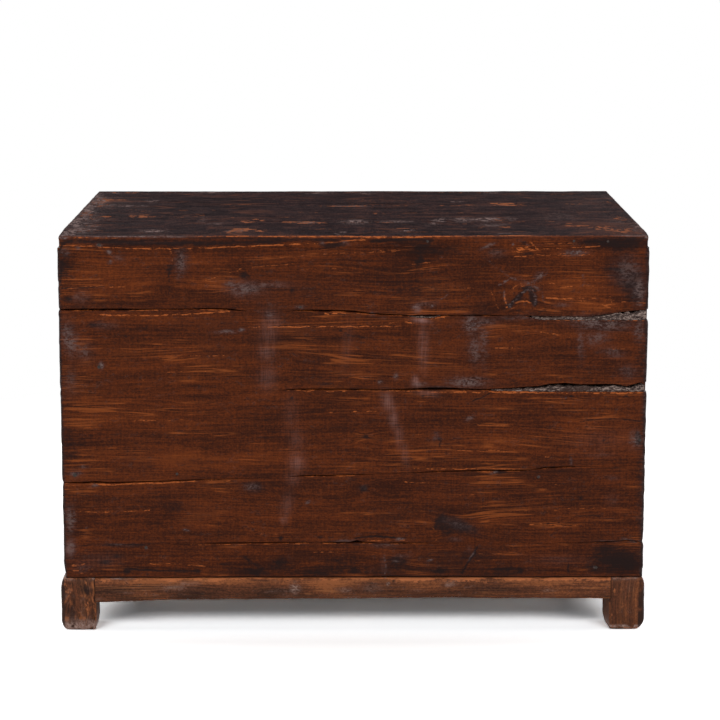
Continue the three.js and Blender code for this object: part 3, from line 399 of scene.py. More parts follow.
# Where the grain runs round a knot, and long swells that bend it into cathedral points:
# middle, half width and half height in pixels, and how far the grain is pushed, in pixels.
KNOT_FLOWS = [
    ((245, 276), (9, 6), 3), ((333, 245), (20, 6), 4), ((520, 243), (12, 6), 3),
    ((525, 293), (26, 17), 9), ((241, 330), (8, 5), 2.5), ((340, 330), (8, 5), 2.5),
    ((292, 398), (8, 5), 2), ((365, 437), (14, 8), 5), ((571, 396), (7, 4), 2), ((638, 438), (14, 10), 4),
    ((365, 487), (18, 10), 6), ((460, 527), (34, 15), 8), ((493, 498.6), (6, 4), 1.5),
    ((559, 523), (6, 4), 2), ((397, 560), (22, 9), 5),
]
GRAIN_SWELLS = [
    ((150, 280), (110, 10), 7), ((390, 275), (90, 12), -8), ((275, 353.5), (90, 9), 10),
    ((575, 336), (70, 8), 9), ((180, 415), (110, 10), -5), ((480, 438), (100, 14), 9),
    ((600, 430), (70, 9), -6), ((160, 520), (120, 10), 7), ((330, 500), (80, 11), -8),
    ((560, 500), (80, 13), 5), ((250, 560), (100, 6), 5),
]


def apart(spots, middle, halves, degrees=0):
    """How far pixels lie from a patch's middle, where 1 is its edge."""
    turn = math.radians(degrees)
    across, down = spots[..., 0] - middle[0], spots[..., 1] - middle[1]
    a = across * math.cos(turn) + down * math.sin(turn)
    b = down * math.cos(turn) - across * math.sin(turn)
    return np.hypot(a / halves[0], b / halves[1])


def from_line(spots, points):
    """The distance of pixels from a line through points."""
    nearest = np.full(spots.shape[:-1], np.inf)
    for start, end in zip(points, points[1:]):
        start, run = np.array(start, float), np.subtract(end, start)
        share = np.clip((spots - start) @ run / (run @ run), 0, 1)
        nearest = np.minimum(nearest, np.linalg.norm(spots - start - share[..., None] * run, axis=-1))
    return nearest


def fade(distance):
    """1 in the middle, falling smoothly to nearly 0 at twice the edge."""
    return np.exp(-1.2 * np.maximum(distance, 0) ** 2)


def lines_at(spots, lines):
    """How strongly the strongest of the lines shows at each pixel."""
    shown = np.zeros(len(spots))
    for points, half_width, strength in lines:
        shown = np.maximum(shown, strength * fade(from_line(spots, points) / half_width))
    return shown


# Patches more than this many pixels from middle to edge have the more ragged edge.
RAGGED_FROM = 3


def patches_at(spots, patches, ragged=None):
    """How strongly the strongest of the patches shows at each pixel."""
    shown = np.zeros(len(spots))
    for middle, halves, strength, *turn in patches:
        near = spots if ragged is None or min(halves) <= RAGGED_FROM else ragged
        shown = np.maximum(shown, strength * fade(apart(near, middle, halves, *turn)))
    return shown


def fields_at(spots, fields):
    """What soft fields add up to at each pixel."""
    return sum(amount * fade(apart(spots, middle, halves)) for middle, halves, amount in fields)


def face_marks(spots, seed):
    """Worn wood, dark stain and some painted shade, grey haze, lighter or darker fields and pale
    smears, at pixels of the photographed face."""
    across, down = spots[:, 0], spots[:, 1]
    rough = mottle(across / 5, down / 1.6, seed)
    wobble = spots + 0.6 * np.stack([rough, mottle(across / 7, down / 5, seed + 1)], -1)
    ragged = spots + np.stack([2.2 * rough, 1.1 * mottle(across / 9, down / 3, seed + 2)], -1)
    drifting = spots + np.stack([6 * rough, 2.5 * mottle(across / 16, down / 6, seed + 3)], -1)
    worn = lines_at(wobble, WORN_LINES) * (0.75 + 0.35 * rough)
    dark = lines_at(wobble, DARK_LINES)
    for middle, halves, strength, *turn in DARK_PATCHES:
        near = ragged if min(halves) > RAGGED_FROM else wobble
        dark = 1 - (1 - dark) * (1 - strength * fade(apart(near, middle, halves, *turn)))
    crumbs = np.clip(0.5 + 1.1 * mottle(across / 1.8, down / 1.3, seed + 4), 0, 1)
    haze = np.maximum(patches_at(wobble, HAZE_PATCHES, ragged), crumbs * lines_at(wobble, HAZE_LINES))
    return worn, dark, haze, fields_at(drifting, SHADE_PATCHES), patches_at(wobble, SMEAR_PATCHES)


def face_grain(points, spots, seed):
    """The height that sets which growth ring shows, bent round knots and into cathedral points."""
    push = PIXEL * fields_at(spots, GRAIN_SWELLS)
    for middle, halves, reach in KNOT_FLOWS:
        side = np.tanh((middle[1] - spots[:, 1]) / (0.35 * halves[1]))
        push = push - side * reach * PIXEL * fade(apart(spots, middle, halves))
    return push + 3.5 * MM * mottle(points[:, 0] / 0.22 + seed, points[:, 2] / 0.2, seed + 5, 2)


# Making boards


def points_of(piece):
    places = np.zeros(len(piece.data.vertices) * 3)
    piece.data.vertices.foreach_get("co", places)
    return places.reshape(-1, 3)


def move_points(piece, places):
    piece.data.vertices.foreach_set("co", places.ravel())
    piece.data.update()


def quarter_turn(piece, sign):
    """Turns a piece made with its face towards -Y a quarter turn about the middle."""
    places = points_of(piece)
    move_points(piece, np.stack([-sign * places[:, 1], sign * places[:, 0], places[:, 2]], -1))


def ring_solid(name, rings):
    """A closed solid from one section at each ring: a cylinder cut across, whose rings of points
    take the sections' places. Sections run counter-clockwise as seen from the last ring."""
    count, sides = rings.shape[:2]
    first_cuts = 20
    assert (count - 1) % first_cuts == 0
    bpy.ops.mesh.primitive_cylinder_add(vertices=sides, radius=1, depth=1, end_fill_type="NGON")
    board = bpy.context.object
    board.name = board.data.name = name
    mesh = board.data
    bpy.context.tool_settings.mesh_select_mode = (False, True, False)
    for pieces in (first_cuts, (count - 1) // first_cuts):
        ends = np.zeros(len(mesh.edges) * 2, np.int32)
        mesh.edges.foreach_get("vertices", ends)
        places = points_of(board)
        run = places[ends[0::2]] - places[ends[1::2]]
        lengthwise = np.abs(run[:, 2]) > np.hypot(run[:, 0], run[:, 1])
        mesh.polygons.foreach_set("select", np.zeros(len(mesh.polygons), bool))
        mesh.vertices.foreach_set("select", np.ones(len(mesh.vertices), bool))
        mesh.edges.foreach_set("select", lengthwise)
        bpy.ops.object.mode_set(mode="EDIT")
        bpy.ops.mesh.subdivide(number_cuts=pieces - 1)
        bpy.ops.object.mode_set(mode="OBJECT")
    places = points_of(board)
    ring = np.rint((places[:, 2] + 0.5) * (count - 1)).astype(int)
    turn = np.arctan2(places[:, 1], places[:, 0])
    side = np.rint((turn - turn[0]) * sides / (2 * math.pi)).astype(int) % sides
    move_points(board, rings[ring, side])
    bpy.ops.object.shade_smooth_by_angle(angle=SMOOTH_UNDER)
    return board


def rounding(distance, radius):
    """How far a rounded arris falls back at a distance from the edge."""
    radius = np.maximum(radius, 1e-6)
    inward = np.clip(radius - distance, 0, radius)
    return radius - np.sqrt(radius**2 - inward**2)


# Where rows of points lie over a rounded arris, as shares of its width.
ARRIS_STEPS = np.array([0, 0.05, 0.17, 0.36, 0.64, 1.0])


def run_along(start, end, cells, arris):
    """Positions along a board, close together over the arris at each end."""
    near = ARRIS_STEPS * arris
    middle = np.linspace(start + near[-1], end - near[-1], cells + 1 - 2 * (len(near) - 1))
    return np.concatenate([start + near[:-1], middle, (end - near[:-1])[::-1]])


def to_nearest_end(along):
    return np.minimum(along - along[0], along[-1] - along)[:, None]


def same_section(along, path):
    """One section repeated at each position along X, as its points' three measures."""
    shape = (len(along), len(path))
    return [np.broadcast_to(values, shape).copy() for values in (along[:, None], path[:, 0], path[:, 1])]


def plank_rings(along, low, high, rows, face, back, low_round, high_round, end_round, worn):
    """Sections of a board along X whose face is towards -Y: rows down the face, then the back."""
    near = ARRIS_STEPS * max(np.max(low_round), np.max(high_round))
    share = np.linspace(0, 1, rows - 2 * (len(near) - 1))[None, :]
    top, bottom = high[:, None] - near[-1], low[:, None] + near[-1]
    top_arris, low_arris = high[:, None] - near[None, :-1], low[:, None] + near[None, -2::-1]
    heights = np.concatenate([top_arris, top + (bottom - top) * share, low_arris], axis=1)
    from_end = to_nearest_end(along)
    fall = rounding(high[:, None] - heights, np.broadcast_to(high_round, high.shape)[:, None])
    fall = fall + rounding(heights - low[:, None], np.broadcast_to(low_round, low.shape)[:, None])
    fall = fall + rounding(from_end, end_round)
    x = np.broadcast_to(along[:, None], heights.shape).copy()
    x, y = worn(x, face + fall, heights, from_end)
    face_points = np.stack([x, y, heights], -1)
    back_low = np.stack([x[:, -1], np.full(len(along), back), low], -1)
    back_high = np.stack([x[:, 0], np.full(len(along), back), high], -1)
    return np.concatenate([face_points, back_low[:, None], back_high[:, None]], axis=1)


def keep_marks(piece, worn, dark, haze, grain, shade=0.0, smear=0.0):
    """The marks and the bent grain, kept on the piece's points for its finish to read."""
    count = len(piece.data.vertices)
    layers = np.ones((count, 4))
    for column, layer in enumerate((worn, dark, haze, 0.5 + np.asarray(shade))):
        layers[:, column] = np.clip(layer, 0, 1)
    marks = piece.data.color_attributes.new("marks", "FLOAT_COLOR", "POINT")
    marks.data.foreach_set("color", layers.ravel())
    for name, values in (("grain", grain), ("smear", smear)):
        layer = piece.data.attributes.new(name, "FLOAT", "POINT")
        layer.data.foreach_set("value", np.broadcast_to(values, count).astype(float).copy())


def dress(piece, finishes, slot, *replaced):
    """Gives a piece its finishes, and lets it stand for CAD nodes and ride on their body."""
    piece.data.materials.clear()
    for finish in finishes:
        piece.data.materials.append(finish)
    if replaced:
        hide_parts(*replaced)
        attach(piece, body_of[replaced[0]])
    else:
        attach(piece, "cabinet")


# Carcass planes, taken from the CAD nodes
BACK_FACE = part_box("back_board_1")[0].y
BACK_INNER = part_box("back_board_1")[1].y
CARCASS_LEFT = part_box("back_board_1")[0].x
CARCASS_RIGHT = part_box("back_board_1")[1].x
BOX_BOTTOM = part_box("back_board_1")[0].z
BOX_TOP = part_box("back_board_5")[1].z
FRONT_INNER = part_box("front_stile_left")[0].y
PANEL_FACES = [corner.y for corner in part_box("front_panel_left")]
SIDE_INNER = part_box("side_board_left_1")[0].x
TOP_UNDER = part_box("top_board_back")[0].z
TOP_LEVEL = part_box("top_board_back")[1].z

# Finishes


def tone(red, green, blue):
    """A colour as it looks on a screen, from 0 to 255, as the linear values that nodes take."""
    shares = [value / 255 for value in (red, green, blue)]
    return tuple(s / 12.92 if s <= 0.04045 else ((s + 0.055) / 1.055) ** 2.4 for s in shares) + (1,)


class Finish:
    """A material whose nodes are added one at a time, each giving its result."""

    def __init__(self, name):
        self.material = bpy.data.materials.new(name)
        self.material.use_nodes = True
        self.tree = self.material.node_tree
        self.tree.nodes.clear()
        self.place = self.add("TexCoord").outputs["Object"]

    def add(self, kind, inputs=None, **settings):
        node = self.tree.nodes.new("ShaderNode" + kind)
        for key, value in settings.items():
            setattr(node, key, value)
        for key, value in (inputs or {}).items():
            if isinstance(value, bpy.types.NodeSocket):
                self.tree.links.new(value, node.inputs[key])
            else:
                node.inputs[key].default_value = value
        return node

    def calc(self, operation, *values, clamp=False):
        inputs = dict(enumerate(values))
        return self.add("Math", inputs, operation=operation, use_clamp=clamp).outputs[0]

    def plus(self, first, second):
        return self.calc("ADD", first, second)

    def minus(self, first, second):
        return self.calc("SUBTRACT", first, second)

    def times(self, first, second, clamp=False):
        return self.calc("MULTIPLY", first, second, clamp=clamp)

    def mixed(self, first, share, second, other_share):
        """Two values added up, each by its share."""
        return self.plus(self.times(first, share), self.times(second, other_share))

    def blend(self, share, first, second):
        inputs = {0: share, 6: first, 7: second}
        node = self.add("Mix", inputs, data_type="RGBA", blend_type="MIX", clamp_factor=True)
        return node.outputs[2]

    def ramp(self, share, stops):
        node = self.add("ValToRGB", {0: share})
        elements = node.color_ramp.elements
        while len(elements) < len(stops):
            elements.new(1)
        for element, (position, colour) in zip(elements, stops):
            element.position, element.color = position, colour
        return node.outputs[0]

    def band(self, value, low, high):
        """0 up to low, 1 from high, with a smooth rise between."""
        inputs = {"Value": value, "From Min": low, "From Max": high}
        return self.add("MapRange", inputs, interpolation_type="SMOOTHSTEP").outputs[0]

    def noise(self, vector, scale, detail=2, roughness=0.5, flat=False):
        inputs = {"Vector": vector, "Scale": scale, "Detail": detail, "Roughness": roughness}
        dimensions = "2D" if flat else "3D"
        return self.add("TexNoise", inputs, noise_dimensions=dimensions).outputs[0]

    def scaled(self, vector, factors):
        return self.add("VectorMath", {0: vector, 1: factors}, operation="MULTIPLY").outputs[0]

    def joined(self, x, y, z=0.0):
        return self.add("CombineXYZ", {0: x, 1: y, 2: z}).outputs[0]

    def parts(self, vector):
        return self.add("SeparateXYZ", {0: vector}).outputs

    def bumped(self, height, strength, distance):
        return self.add("Bump", {"Strength": strength, "Distance": distance, "Height": height}).outputs[0]

    def surface(self, shader):
        output = self.add("OutputMaterial")
        self.tree.links.new(shader.outputs[0], output.inputs["Surface"])
        return self.material


# How a board is turned so that its grain lies along X.
TURNS = {"x": (0, 0, 0), "y": (0, 0, -math.pi / 2), "z": (0, math.pi / 2, 0)}

# How far bare wood runs into the carcass's joints.
BARE_REACH = 0.6 * MM

# What a board looks like where its own finish says nothing else: growth bands, length and spacing
# of the fine lines, specks and flakes, then how much of each layer shows, and how dull it is.
PLAIN_BOARD = dict(
    coarse=60, line_length=11, lines_apart=380, fine=(260, 430, 430), flakes=(150, 260, 260),
    contrast=1.0, saw=0.35, hairs=0.55, stain=0.5, wear=0.0, rough=0.42, gloss=0.05,
    inside=True, bare_front=FRONT_INNER + BARE_REACH,
)
GRAIN_STOPS = (0.16, 0.37, 0.5, 0.64, 0.9)
BARE_STOPS = (0.14, 0.36, 0.5, 0.64, 0.88)


class Wood(Finish):
    """A softwood board with its grain along one axis. Its tones are five from dark to light for
    the grain, then hair, worn, stain, haze, smoke and smear. The piece's own marks lie over it."""

    def __init__(self, name, along, tones, look):
        super().__init__(name)
        self.tones, self.look = tones, look
        layers = self.add("Attribute", attribute_name="marks").outputs
        self.shade = layers["Alpha"]
        marks = self.add("SeparateColor", {0: layers["Color"]})
        self.worn, self.dark, self.haze = marks.outputs[0], marks.outputs[1], marks.outputs[2]
        self.smear = self.add("Attribute", attribute_name="smear").outputs["Fac"]
        self.turned = self.add("Mapping", {"Vector": self.place, "Rotation": TURNS[along]}).outputs[0]
        self.length, depth, across = self.parts(self.turned)
        bent = self.add("Attribute", attribute_name="grain").outputs["Fac"]
        drift = self.times(self.minus(self.clouds((2.2, 7, 7), 3), 0.5), 0.02)
        slope = self.times(depth, 0.45)
        self.ring = self.plus(self.plus(self.minus(across, bent), slope), drift)
        spacing, length = look["lines_apart"], look["line_length"]
        self.bands = self.streaks(1.8, look["coarse"], 2)
        self.wisps = self.streaks(length * 0.6, spacing * 0.42, 2, 0.6)
        self.lines = self.streaks(length, spacing, 3, 0.65)
        saw_marks = self.joined(self.times(self.length, 330), self.times(across, 26))
        self.cuts = self.noise(saw_marks, 1, 3, 0.7, flat=True)
        self.cloud = self.clouds((4, 9, 9), 4, 0.6)
        self.blotch = self.clouds((15, 30, 34), 4, 0.65)
        self.patchy = self.clouds((9, 24, 40), 3, 0.6)
        self.speckle = self.clouds(look["fine"], 3, 0.75)
        self.flaked = self.band(self.clouds(look["flakes"], 3, 0.7), 0.42, 0.6)

    def clouds(self, factors, detail, roughness=0.5):
        """Soft noise, with so many swells to a metre along the grain, in depth and across it."""
        return self.noise(self.scaled(self.turned, factors), 1, detail, roughness)

    def streaks(self, lengthwise, crosswise, detail, roughness=0.5):
        """Noise drawn out along the growth rings."""
        vector = self.joined(self.times(self.length, lengthwise), self.times(self.ring, crosswise))
        return self.noise(vector, 1, detail, roughness, flat=True)

    def threads(self, lengthwise, share_apart, level, core, edge):
        """Thin lines where drawn-out noise passes a level."""
        field = self.streaks(lengthwise, self.look["lines_apart"] * share_apart, 1)
        off = self.calc("ABSOLUTE", self.minus(field, level))
        return self.minus(1, self.band(off, core, edge))

    def lightness(self):
        """Which of the grain's five tones shows."""
        swings = [(self.bands, 0.42), (self.wisps, 0.28), (self.lines, 0.8), (self.blotch, 0.6),
                  (self.cloud, 0.35), (self.speckle, 1.15), (self.cuts, self.look["saw"])]
        share = self.shade
        for value, amount in swings:
            share = self.plus(self.times(self.minus(value, 0.5), amount * self.look["contrast"]), share)
        return share

    def grained(self, share):
        colour = self.ramp(share, list(zip(GRAIN_STOPS, self.tones["grain"])))
        seam = self.times(self.threads(8, 0.31, 0.47, 0.004, 0.022), self.band(self.patchy, 0.5, 0.36))
        hair = self.times(self.threads(5, 0.55, 0.5, 0.008, 0.05), self.band(self.patchy, 0.5, 0.62))
        smoky = self.band(self.mixed(self.cloud, 0.6, self.blotch, 0.4), 0.5, 0.68)
        colour = self.blend(self.times(seam, 0.5), colour, self.tones["stain"])
        colour = self.blend(self.times(hair, self.look["hairs"]), colour, self.tones["hair"])
        return self.blend(self.times(smoky, self.look["stain"]), colour, self.tones["stain"])

    def dented(self, colour):
        """Small dents, with painted glints on their pale rims and darker hollows."""
        dents = self.clouds((85, 170, 170), 2, 0.6)
        # Painted glints: a thin pale ring round each dent.
        rims = self.times(self.band(dents, 0.6, 0.65), self.band(dents, 0.7, 0.65))
        rims = self.times(rims, self.band(self.blotch, 0.42, 0.6))
        hollows = self.times(self.band(dents, 0.655, 0.7), self.band(self.blotch, 0.4, 0.6))
        colour = self.blend(self.times(rims, 0.1), colour, self.tones["haze"])
        return self.blend(self.times(hollows, 0.5), colour, self.tones["stain"])

    def marked(self, colour):
        """The piece's own marks, laid over the grain, and how much they dull it."""
        bitten = self.mixed(self.flaked, 0.6, self.band(self.lines, 0.36, 0.64), 0.4)
        worn = self.plus(self.worn, self.look["wear"])
        worn = self.band(self.minus(worn, self.times(bitten, 0.6)), 0.02, 0.42)
        dark = self.band(self.minus(self.dark, self.times(bitten, 0.3)), 0.0, 0.62)
        crumbly = self.band(self.mixed(self.blotch, 0.35, self.speckle, 0.65), 0.4, 0.58)
        crumbly = self.plus(self.times(crumbly, 0.8), 0.2)
        smoke = self.times(self.times(self.haze, 1.6), crumbly, clamp=True)
        crumbs = self.mixed(self.flaked, 0.6, self.band(self.speckle, 0.44, 0.6), 0.4)
        haze = self.times(self.band(self.haze, 0.05, 0.8), self.band(crumbs, 0.15, 0.75))
        haze = self.times(haze, 0.8)
        brushed = self.mixed(self.band(self.lines, 0.36, 0.6), 0.55, self.band(self.cuts, 0.38, 0.6), 0.55)
        smear = self.times(self.smear, self.plus(brushed, 0.25), clamp=True)
        # The dark channel takes the stain tone: real stains, and the painted shade that the pieces' marks put
        # there.
        for share, strength, name in ((worn, 0.9, "worn"), (dark, 0.9, "stain"), (smoke, 0.9, "smoke"),
                                      (smear, 1, "smear"), (haze, 1, "haze")):
            colour = self.blend(self.times(share, strength), colour, self.tones[name])
        return colour, self.times(self.calc("MAXIMUM", haze, worn), 0.2)

    def unlacquered(self):
        """1 inside the carcass, where the wood was left bare."""
        x, y, z = self.parts(self.place)
        within = self.minus(SIDE_INNER + BARE_REACH, self.calc("ABSOLUTE", x))
        for inward in (self.minus(y, BACK_INNER - BARE_REACH), self.minus(self.look["bare_front"], y),
                       self.minus(TOP_UNDER + BARE_REACH, z)):
            within = self.calc("MINIMUM", within, inward)
        return self.calc("GREATER_THAN", within, 0)

    def finish(self):
        share = self.lightness()
        colour, scuffed = self.marked(self.dented(self.grained(share)))
        dull = self.plus(self.times(self.cloud, 0.22), self.look["rough"] - 0.11)
        dull = self.plus(dull, scuffed)
        if self.look["inside"]:
            bare = self.unlacquered()
            colour = self.blend(bare, colour, self.ramp(share, list(zip(BARE_STOPS, BARE_GRAIN))))
            dull = self.plus(dull, self.times(bare, 0.3))
        relief = self.plus(self.mixed(self.lines, 0.5, self.cuts, 0.3), self.times(self.speckle, 0.3))
        shader = self.add("BsdfPrincipled", {
            "Base Color": colour, "Roughness": dull, "Normal": self.bumped(relief, 0.35, 0.6 * MM),
            "Specular IOR Level": self.look["gloss"]})
        return self.surface(shader)


def wood(name, along, tones, **look):
    return Wood(name, along, tones, {**PLAIN_BOARD, **look}).finish()


def grain_tones(*colours):
    return [tone(*colour) for colour in colours]


BARE_GRAIN = grain_tones((84, 62, 44), (104, 77, 54), (116, 87, 60), (128, 97, 68), (146, 112, 80))
BACK_TONES = dict(
    grain=grain_tones((42, 18, 10), (58, 26, 13), (71, 32, 14), (84, 38, 16), (103, 49, 20)),
    hair=tone(146, 76, 35), worn=tone(166, 88, 43), stain=tone(28, 18, 17), haze=tone(108, 90, 86),
    smoke=tone(58, 44, 44), smear=tone(134, 98, 92),
)
SIDE_TONES = dict(
    BACK_TONES, grain=grain_tones((42, 21, 16), (58, 29, 19), (70, 35, 21), (82, 41, 23), (106, 55, 28)))
FRONT_TONES = dict(
    BACK_TONES, grain=grain_tones((46, 20, 14), (64, 28, 17), (78, 35, 19), (90, 42, 21), (114, 56, 26)))
PANEL_TONES = dict(
    BACK_TONES, grain=grain_tones((38, 17, 13), (54, 24, 16), (66, 30, 18), (78, 37, 20), (100, 50, 25)))
TOP_TONES = dict(
    grain=grain_tones((22, 15, 17), (31, 22, 23), (36, 26, 27), (42, 29, 29), (62, 39, 34)),
    hair=tone(86, 52, 40), worn=tone(134, 80, 54), stain=tone(20, 15, 17), haze=tone(128, 108, 104),
    smoke=tone(50, 38, 38), smear=tone(110, 84, 78),
)
BASE_TONES = dict(
    grain=grain_tones((50, 31, 23), (70, 42, 29), (85, 49, 33), (100, 58, 37), (134, 79, 47)),
    hair=tone(146, 92, 56), worn=tone(168, 100, 62), stain=tone(38, 26, 23), haze=tone(158, 132, 122),
    smoke=tone(88, 66, 58), smear=tone(140, 110, 100),
)
BARE_TONES = dict(
    grain=BARE_GRAIN, hair=tone(150, 112, 76), worn=tone(160, 128, 92), stain=tone(60, 44, 34),
    haze=tone(140, 124, 106), smoke=tone(96, 80, 66), smear=tone(130, 110, 90),
)

back_finish = wood("back_lacquer", "x", BACK_TONES, contrast=0.93)
top_finish = wood(
    "top_lacquer", "x", TOP_TONES, coarse=42, line_length=36, lines_apart=100, fine=(420, 110, 110),
    flakes=(110, 55, 60), contrast=1.35, saw=0.05, stain=0.3, rough=0.6, gloss=0.0007)
side_finish = wood(
    "side_lacquer", "y", SIDE_TONES, line_length=20, lines_apart=340, contrast=0.9, hairs=0.4)

# The front's parts are planed, so they show fewer saw marks than the back.
planed = dict(saw=0.1)
front_level = wood("front_lacquer_level", "x", FRONT_TONES, **planed)
front_upright = wood("front_lacquer_upright", "z", FRONT_TONES, **planed)
front_worn = wood("front_lacquer_worn", "x", FRONT_TONES, **planed, wear=0.45, inside=False)
panel_finish = wood("panel_lacquer", "z", PANEL_TONES, **planed, coarse=40, bare_front=sum(PANEL_FACES) / 2)
panel_worn = wood("panel_lacquer_worn", "z", PANEL_TONES, **planed, wear=0.35, inside=False)

base = dict(inside=False, rough=0.45)
base_level = wood("base_lacquer_level", "x", BASE_TONES, **base, saw=0.1)
base_deep = wood("base_lacquer_deep", "y", BASE_TONES, **base, saw=0.1)
base_upright = wood("base_lacquer_upright", "z", BASE_TONES, **base, saw=0.05, contrast=0.8)

never_lacquered = dict(inside=False, rough=0.75, stain=0.2, hairs=0.3)
bare_level = wood("bare_wood_level", "x", BARE_TONES, **never_lacquered)
bare_deep = wood("bare_wood_deep", "y", BARE_TONES, **never_lacquered)


def forged_iron():
    f = Finish("wrought_iron")
    hammered = f.noise(f.place, 260, 3, 0.6)
    rust = f.noise(f.place, 900, 4, 0.65)
    colour = f.ramp(rust, [(0.35, tone(38, 34, 33)), (0.6, tone(58, 50, 46)), (0.75, tone(86, 56, 40))])
    height = f.plus(hammered, f.times(rust, 0.3))
    shader = f.add("BsdfPrincipled", {
        "Base Color": colour, "Roughness": f.plus(f.times(rust, 0.35), 0.32), "Metallic": 0.8,
        "Normal": f.bumped(height, 0.5, 0.5 * MM)})
    return f.surface(shader)


def filler_paste():
    f = Finish("joint_filler")
    crumbs = f.noise(f.scaled(f.place, (190, 420, 480)), 1, 4, 0.75)
    patches = f.noise(f.scaled(f.place, (40, 200, 220)), 1, 3, 0.6)
    colour = f.ramp(crumbs, [(0.38, tone(26, 19, 18)), (0.5, tone(66, 50, 45)), (0.62, tone(150, 131, 122))])
    # The paste is browner away from the cabinet's end.
    brown = f.times(f.band(patches, 0.45, 0.6), f.band(f.parts(f.place)[0], 0.41, 0.33))
    colour = f.blend(f.times(brown, 0.8), colour, tone(50, 31, 24))
    shader = f.add("BsdfPrincipled", {
        "Base Color": colour, "Roughness": 0.8, "Normal": f.bumped(crumbs, 0.8, 0.8 * MM),
        "Specular IOR Level": 0.2})
    return f.surface(shader)


iron = forged_iron()
filler = filler_paste()

# The plank back

BACK_BOARDS = 5
LONG_CELLS = 580
ROW_HEIGHT = 0.95 * MM
CORNER_ROUND = 5 * MM

# A narrow joint is drawn closer than the photograph's soft line, down to one that hardly shows.
# In pixels.
TIGHT_GAP = 0.3
CLOSED_GAP = 0.03


def along_joint(joint, edge, along):
    """The height of a joint's upper edge, 0, or lower edge, 1, at positions along the back."""
    across, upper, lower = np.array(joint).T
    gap = np.maximum(lower - upper - TIGHT_GAP, CLOSED_GAP)
    down = (upper + lower) / 2 + (gap / 2 if edge else -gap / 2)
    places = on_plane(np.stack([across, down], -1), 1, BACK_FACE)
    return np.interp(along, places[:, 0], places[:, 2])


def openness(joint, along):
    """0 where a joint is tight and 1 where it stands open."""
    gap = along_joint(joint, 0, along) - along_joint(joint, 1, along)
    share = np.clip((gap - 0.2 * MM) / (0.9 * MM), 0, 1)
    return share * share * (3 - 2 * share)


# Bites out of the boards' ends: height in the photograph, half height and depth in pixels.
LEFT_BITES = [
    (284, 3, 0.9), (310, 2, 0.8), (390, 2, 0.4), (483, 2.4, 0.7), (534, 10, 0.7), (575, 5, 1.2),
    (247, 2, 0.5),
]
RIGHT_BITES = [
    (315, 5, 1.0), (347, 3, 0.5), (388, 4, 0.9), (541, 3, 1.2), (572, 4, 1.4), (249, 2, 0.5),
    (466, 2, 0.4),
]
# How deep a bite of one pixel is cut, and how far in from the end the bites reach.
BITE_DEPTH = 1.5 * MM
BITE_REACH = 9 * MM


def bitten_ends(x, z, from_end, heights, seed):
    """Draws the ends of a back board in where they are bitten."""
    for bites, sign in ((LEFT_BITES, 1), (RIGHT_BITES, -1)):
        bite = 0.5 * MM * (1 + mottle(z / 0.012, sign, seed + 9))
        for height, half, depth in bites:
            bite = bite + depth * BITE_DEPTH * fade(np.abs(heights - height) / half)
        at_end = np.where(sign * x < 0, 1.0, 0.0) * np.clip(1 - from_end / BITE_REACH, 0, 1)
        x = x + sign * at_end * bite
    return x


# Dark patches less than this many pixels from middle to edge are hollows too.
HOLLOW_UNDER = 9


def worn_back(seed):
    """What age has done to a back board: saw marks, shallow hollows, and bites out of its ends."""

    def worn(x, y, z, from_end):
        spots = seen_at(np.stack([x, y, z], -1).reshape(-1, 3))
        x = bitten_ends(x, z, from_end, spots[:, 1].reshape(z.shape), seed)
        hollow = 0.35 * MM * (1 + mottle(x / 0.05, z / 0.05, 31))
        hollow = hollow + 0.1 * MM * mottle(x / 0.004, z / 0.03, 33)
        for line, half_width, strength in DARK_LINES:
            depth = 0.9 * MM * strength * fade(from_line(spots, line) / half_width)
            hollow = hollow + depth.reshape(z.shape)
        for middle, halves, strength, *turn in DARK_PATCHES:
            if max(halves) < HOLLOW_UNDER:
                depth = 0.5 * MM * strength * fade(apart(spots, middle, halves, *turn))
                hollow = hollow + depth.reshape(z.shape)
        return x, y + np.maximum(hollow, 0)

    return worn


# How far the lowest plank stands off the base, and how far the back apron's underside is hollowed:
# places across the photograph and millimetres.
SILL_GAPS = [
    (57, 0.1), (110, 0.5), (220, 0.6), (260, 1.2), (500, 1.3), (525, 0.3), (545, 0.3), (565, 1.1),
    (625, 0.9), (648, 0.1),
]
APRON_RISES = [
    (96, 0), (108, 0.4), (122, 1.4), (160, 3.4), (200, 4.0), (260, 4.9), (330, 5.4), (400, 6.2),
    (440, 6.8), (490, 5.9), (560, 5.4), (606, 5.0),
]


def shown_along(pairs, along, plane):
    """Values given at places across the photograph, read at positions along a plane."""
    base_row = 580
    places = on_plane([(across, base_row) for across, _ in pairs], 1, plane)[:, 0]
    return np.interp(along, places, [value for _, value in pairs])


def back_edges(number, along):
    """A back board's lower and upper edge, and how far the joint at each stands open."""
    if number == 1:
        ragged = 1 + 0.5 * mottle(along / 0.05, 0, 39)
        low = BOX_BOTTOM + MM * shown_along(SILL_GAPS, along, BACK_FACE) * ragged
        low_open = np.zeros(len(along))
    else:
        low = along_joint(BACK_JOINTS[BACK_BOARDS - number], 0, along)
        low_open = openness(BACK_JOINTS[BACK_BOARDS - number], along)
    if number == BACK_BOARDS:
        high, high_open = np.full(len(along), BOX_TOP), np.zeros(len(along))
    else:
        high = along_joint(BACK_JOINTS[BACK_BOARDS - number - 1], 1, along)
        high_open = openness(BACK_JOINTS[BACK_BOARDS - number - 1], along)
    return low, high, low_open, high_open


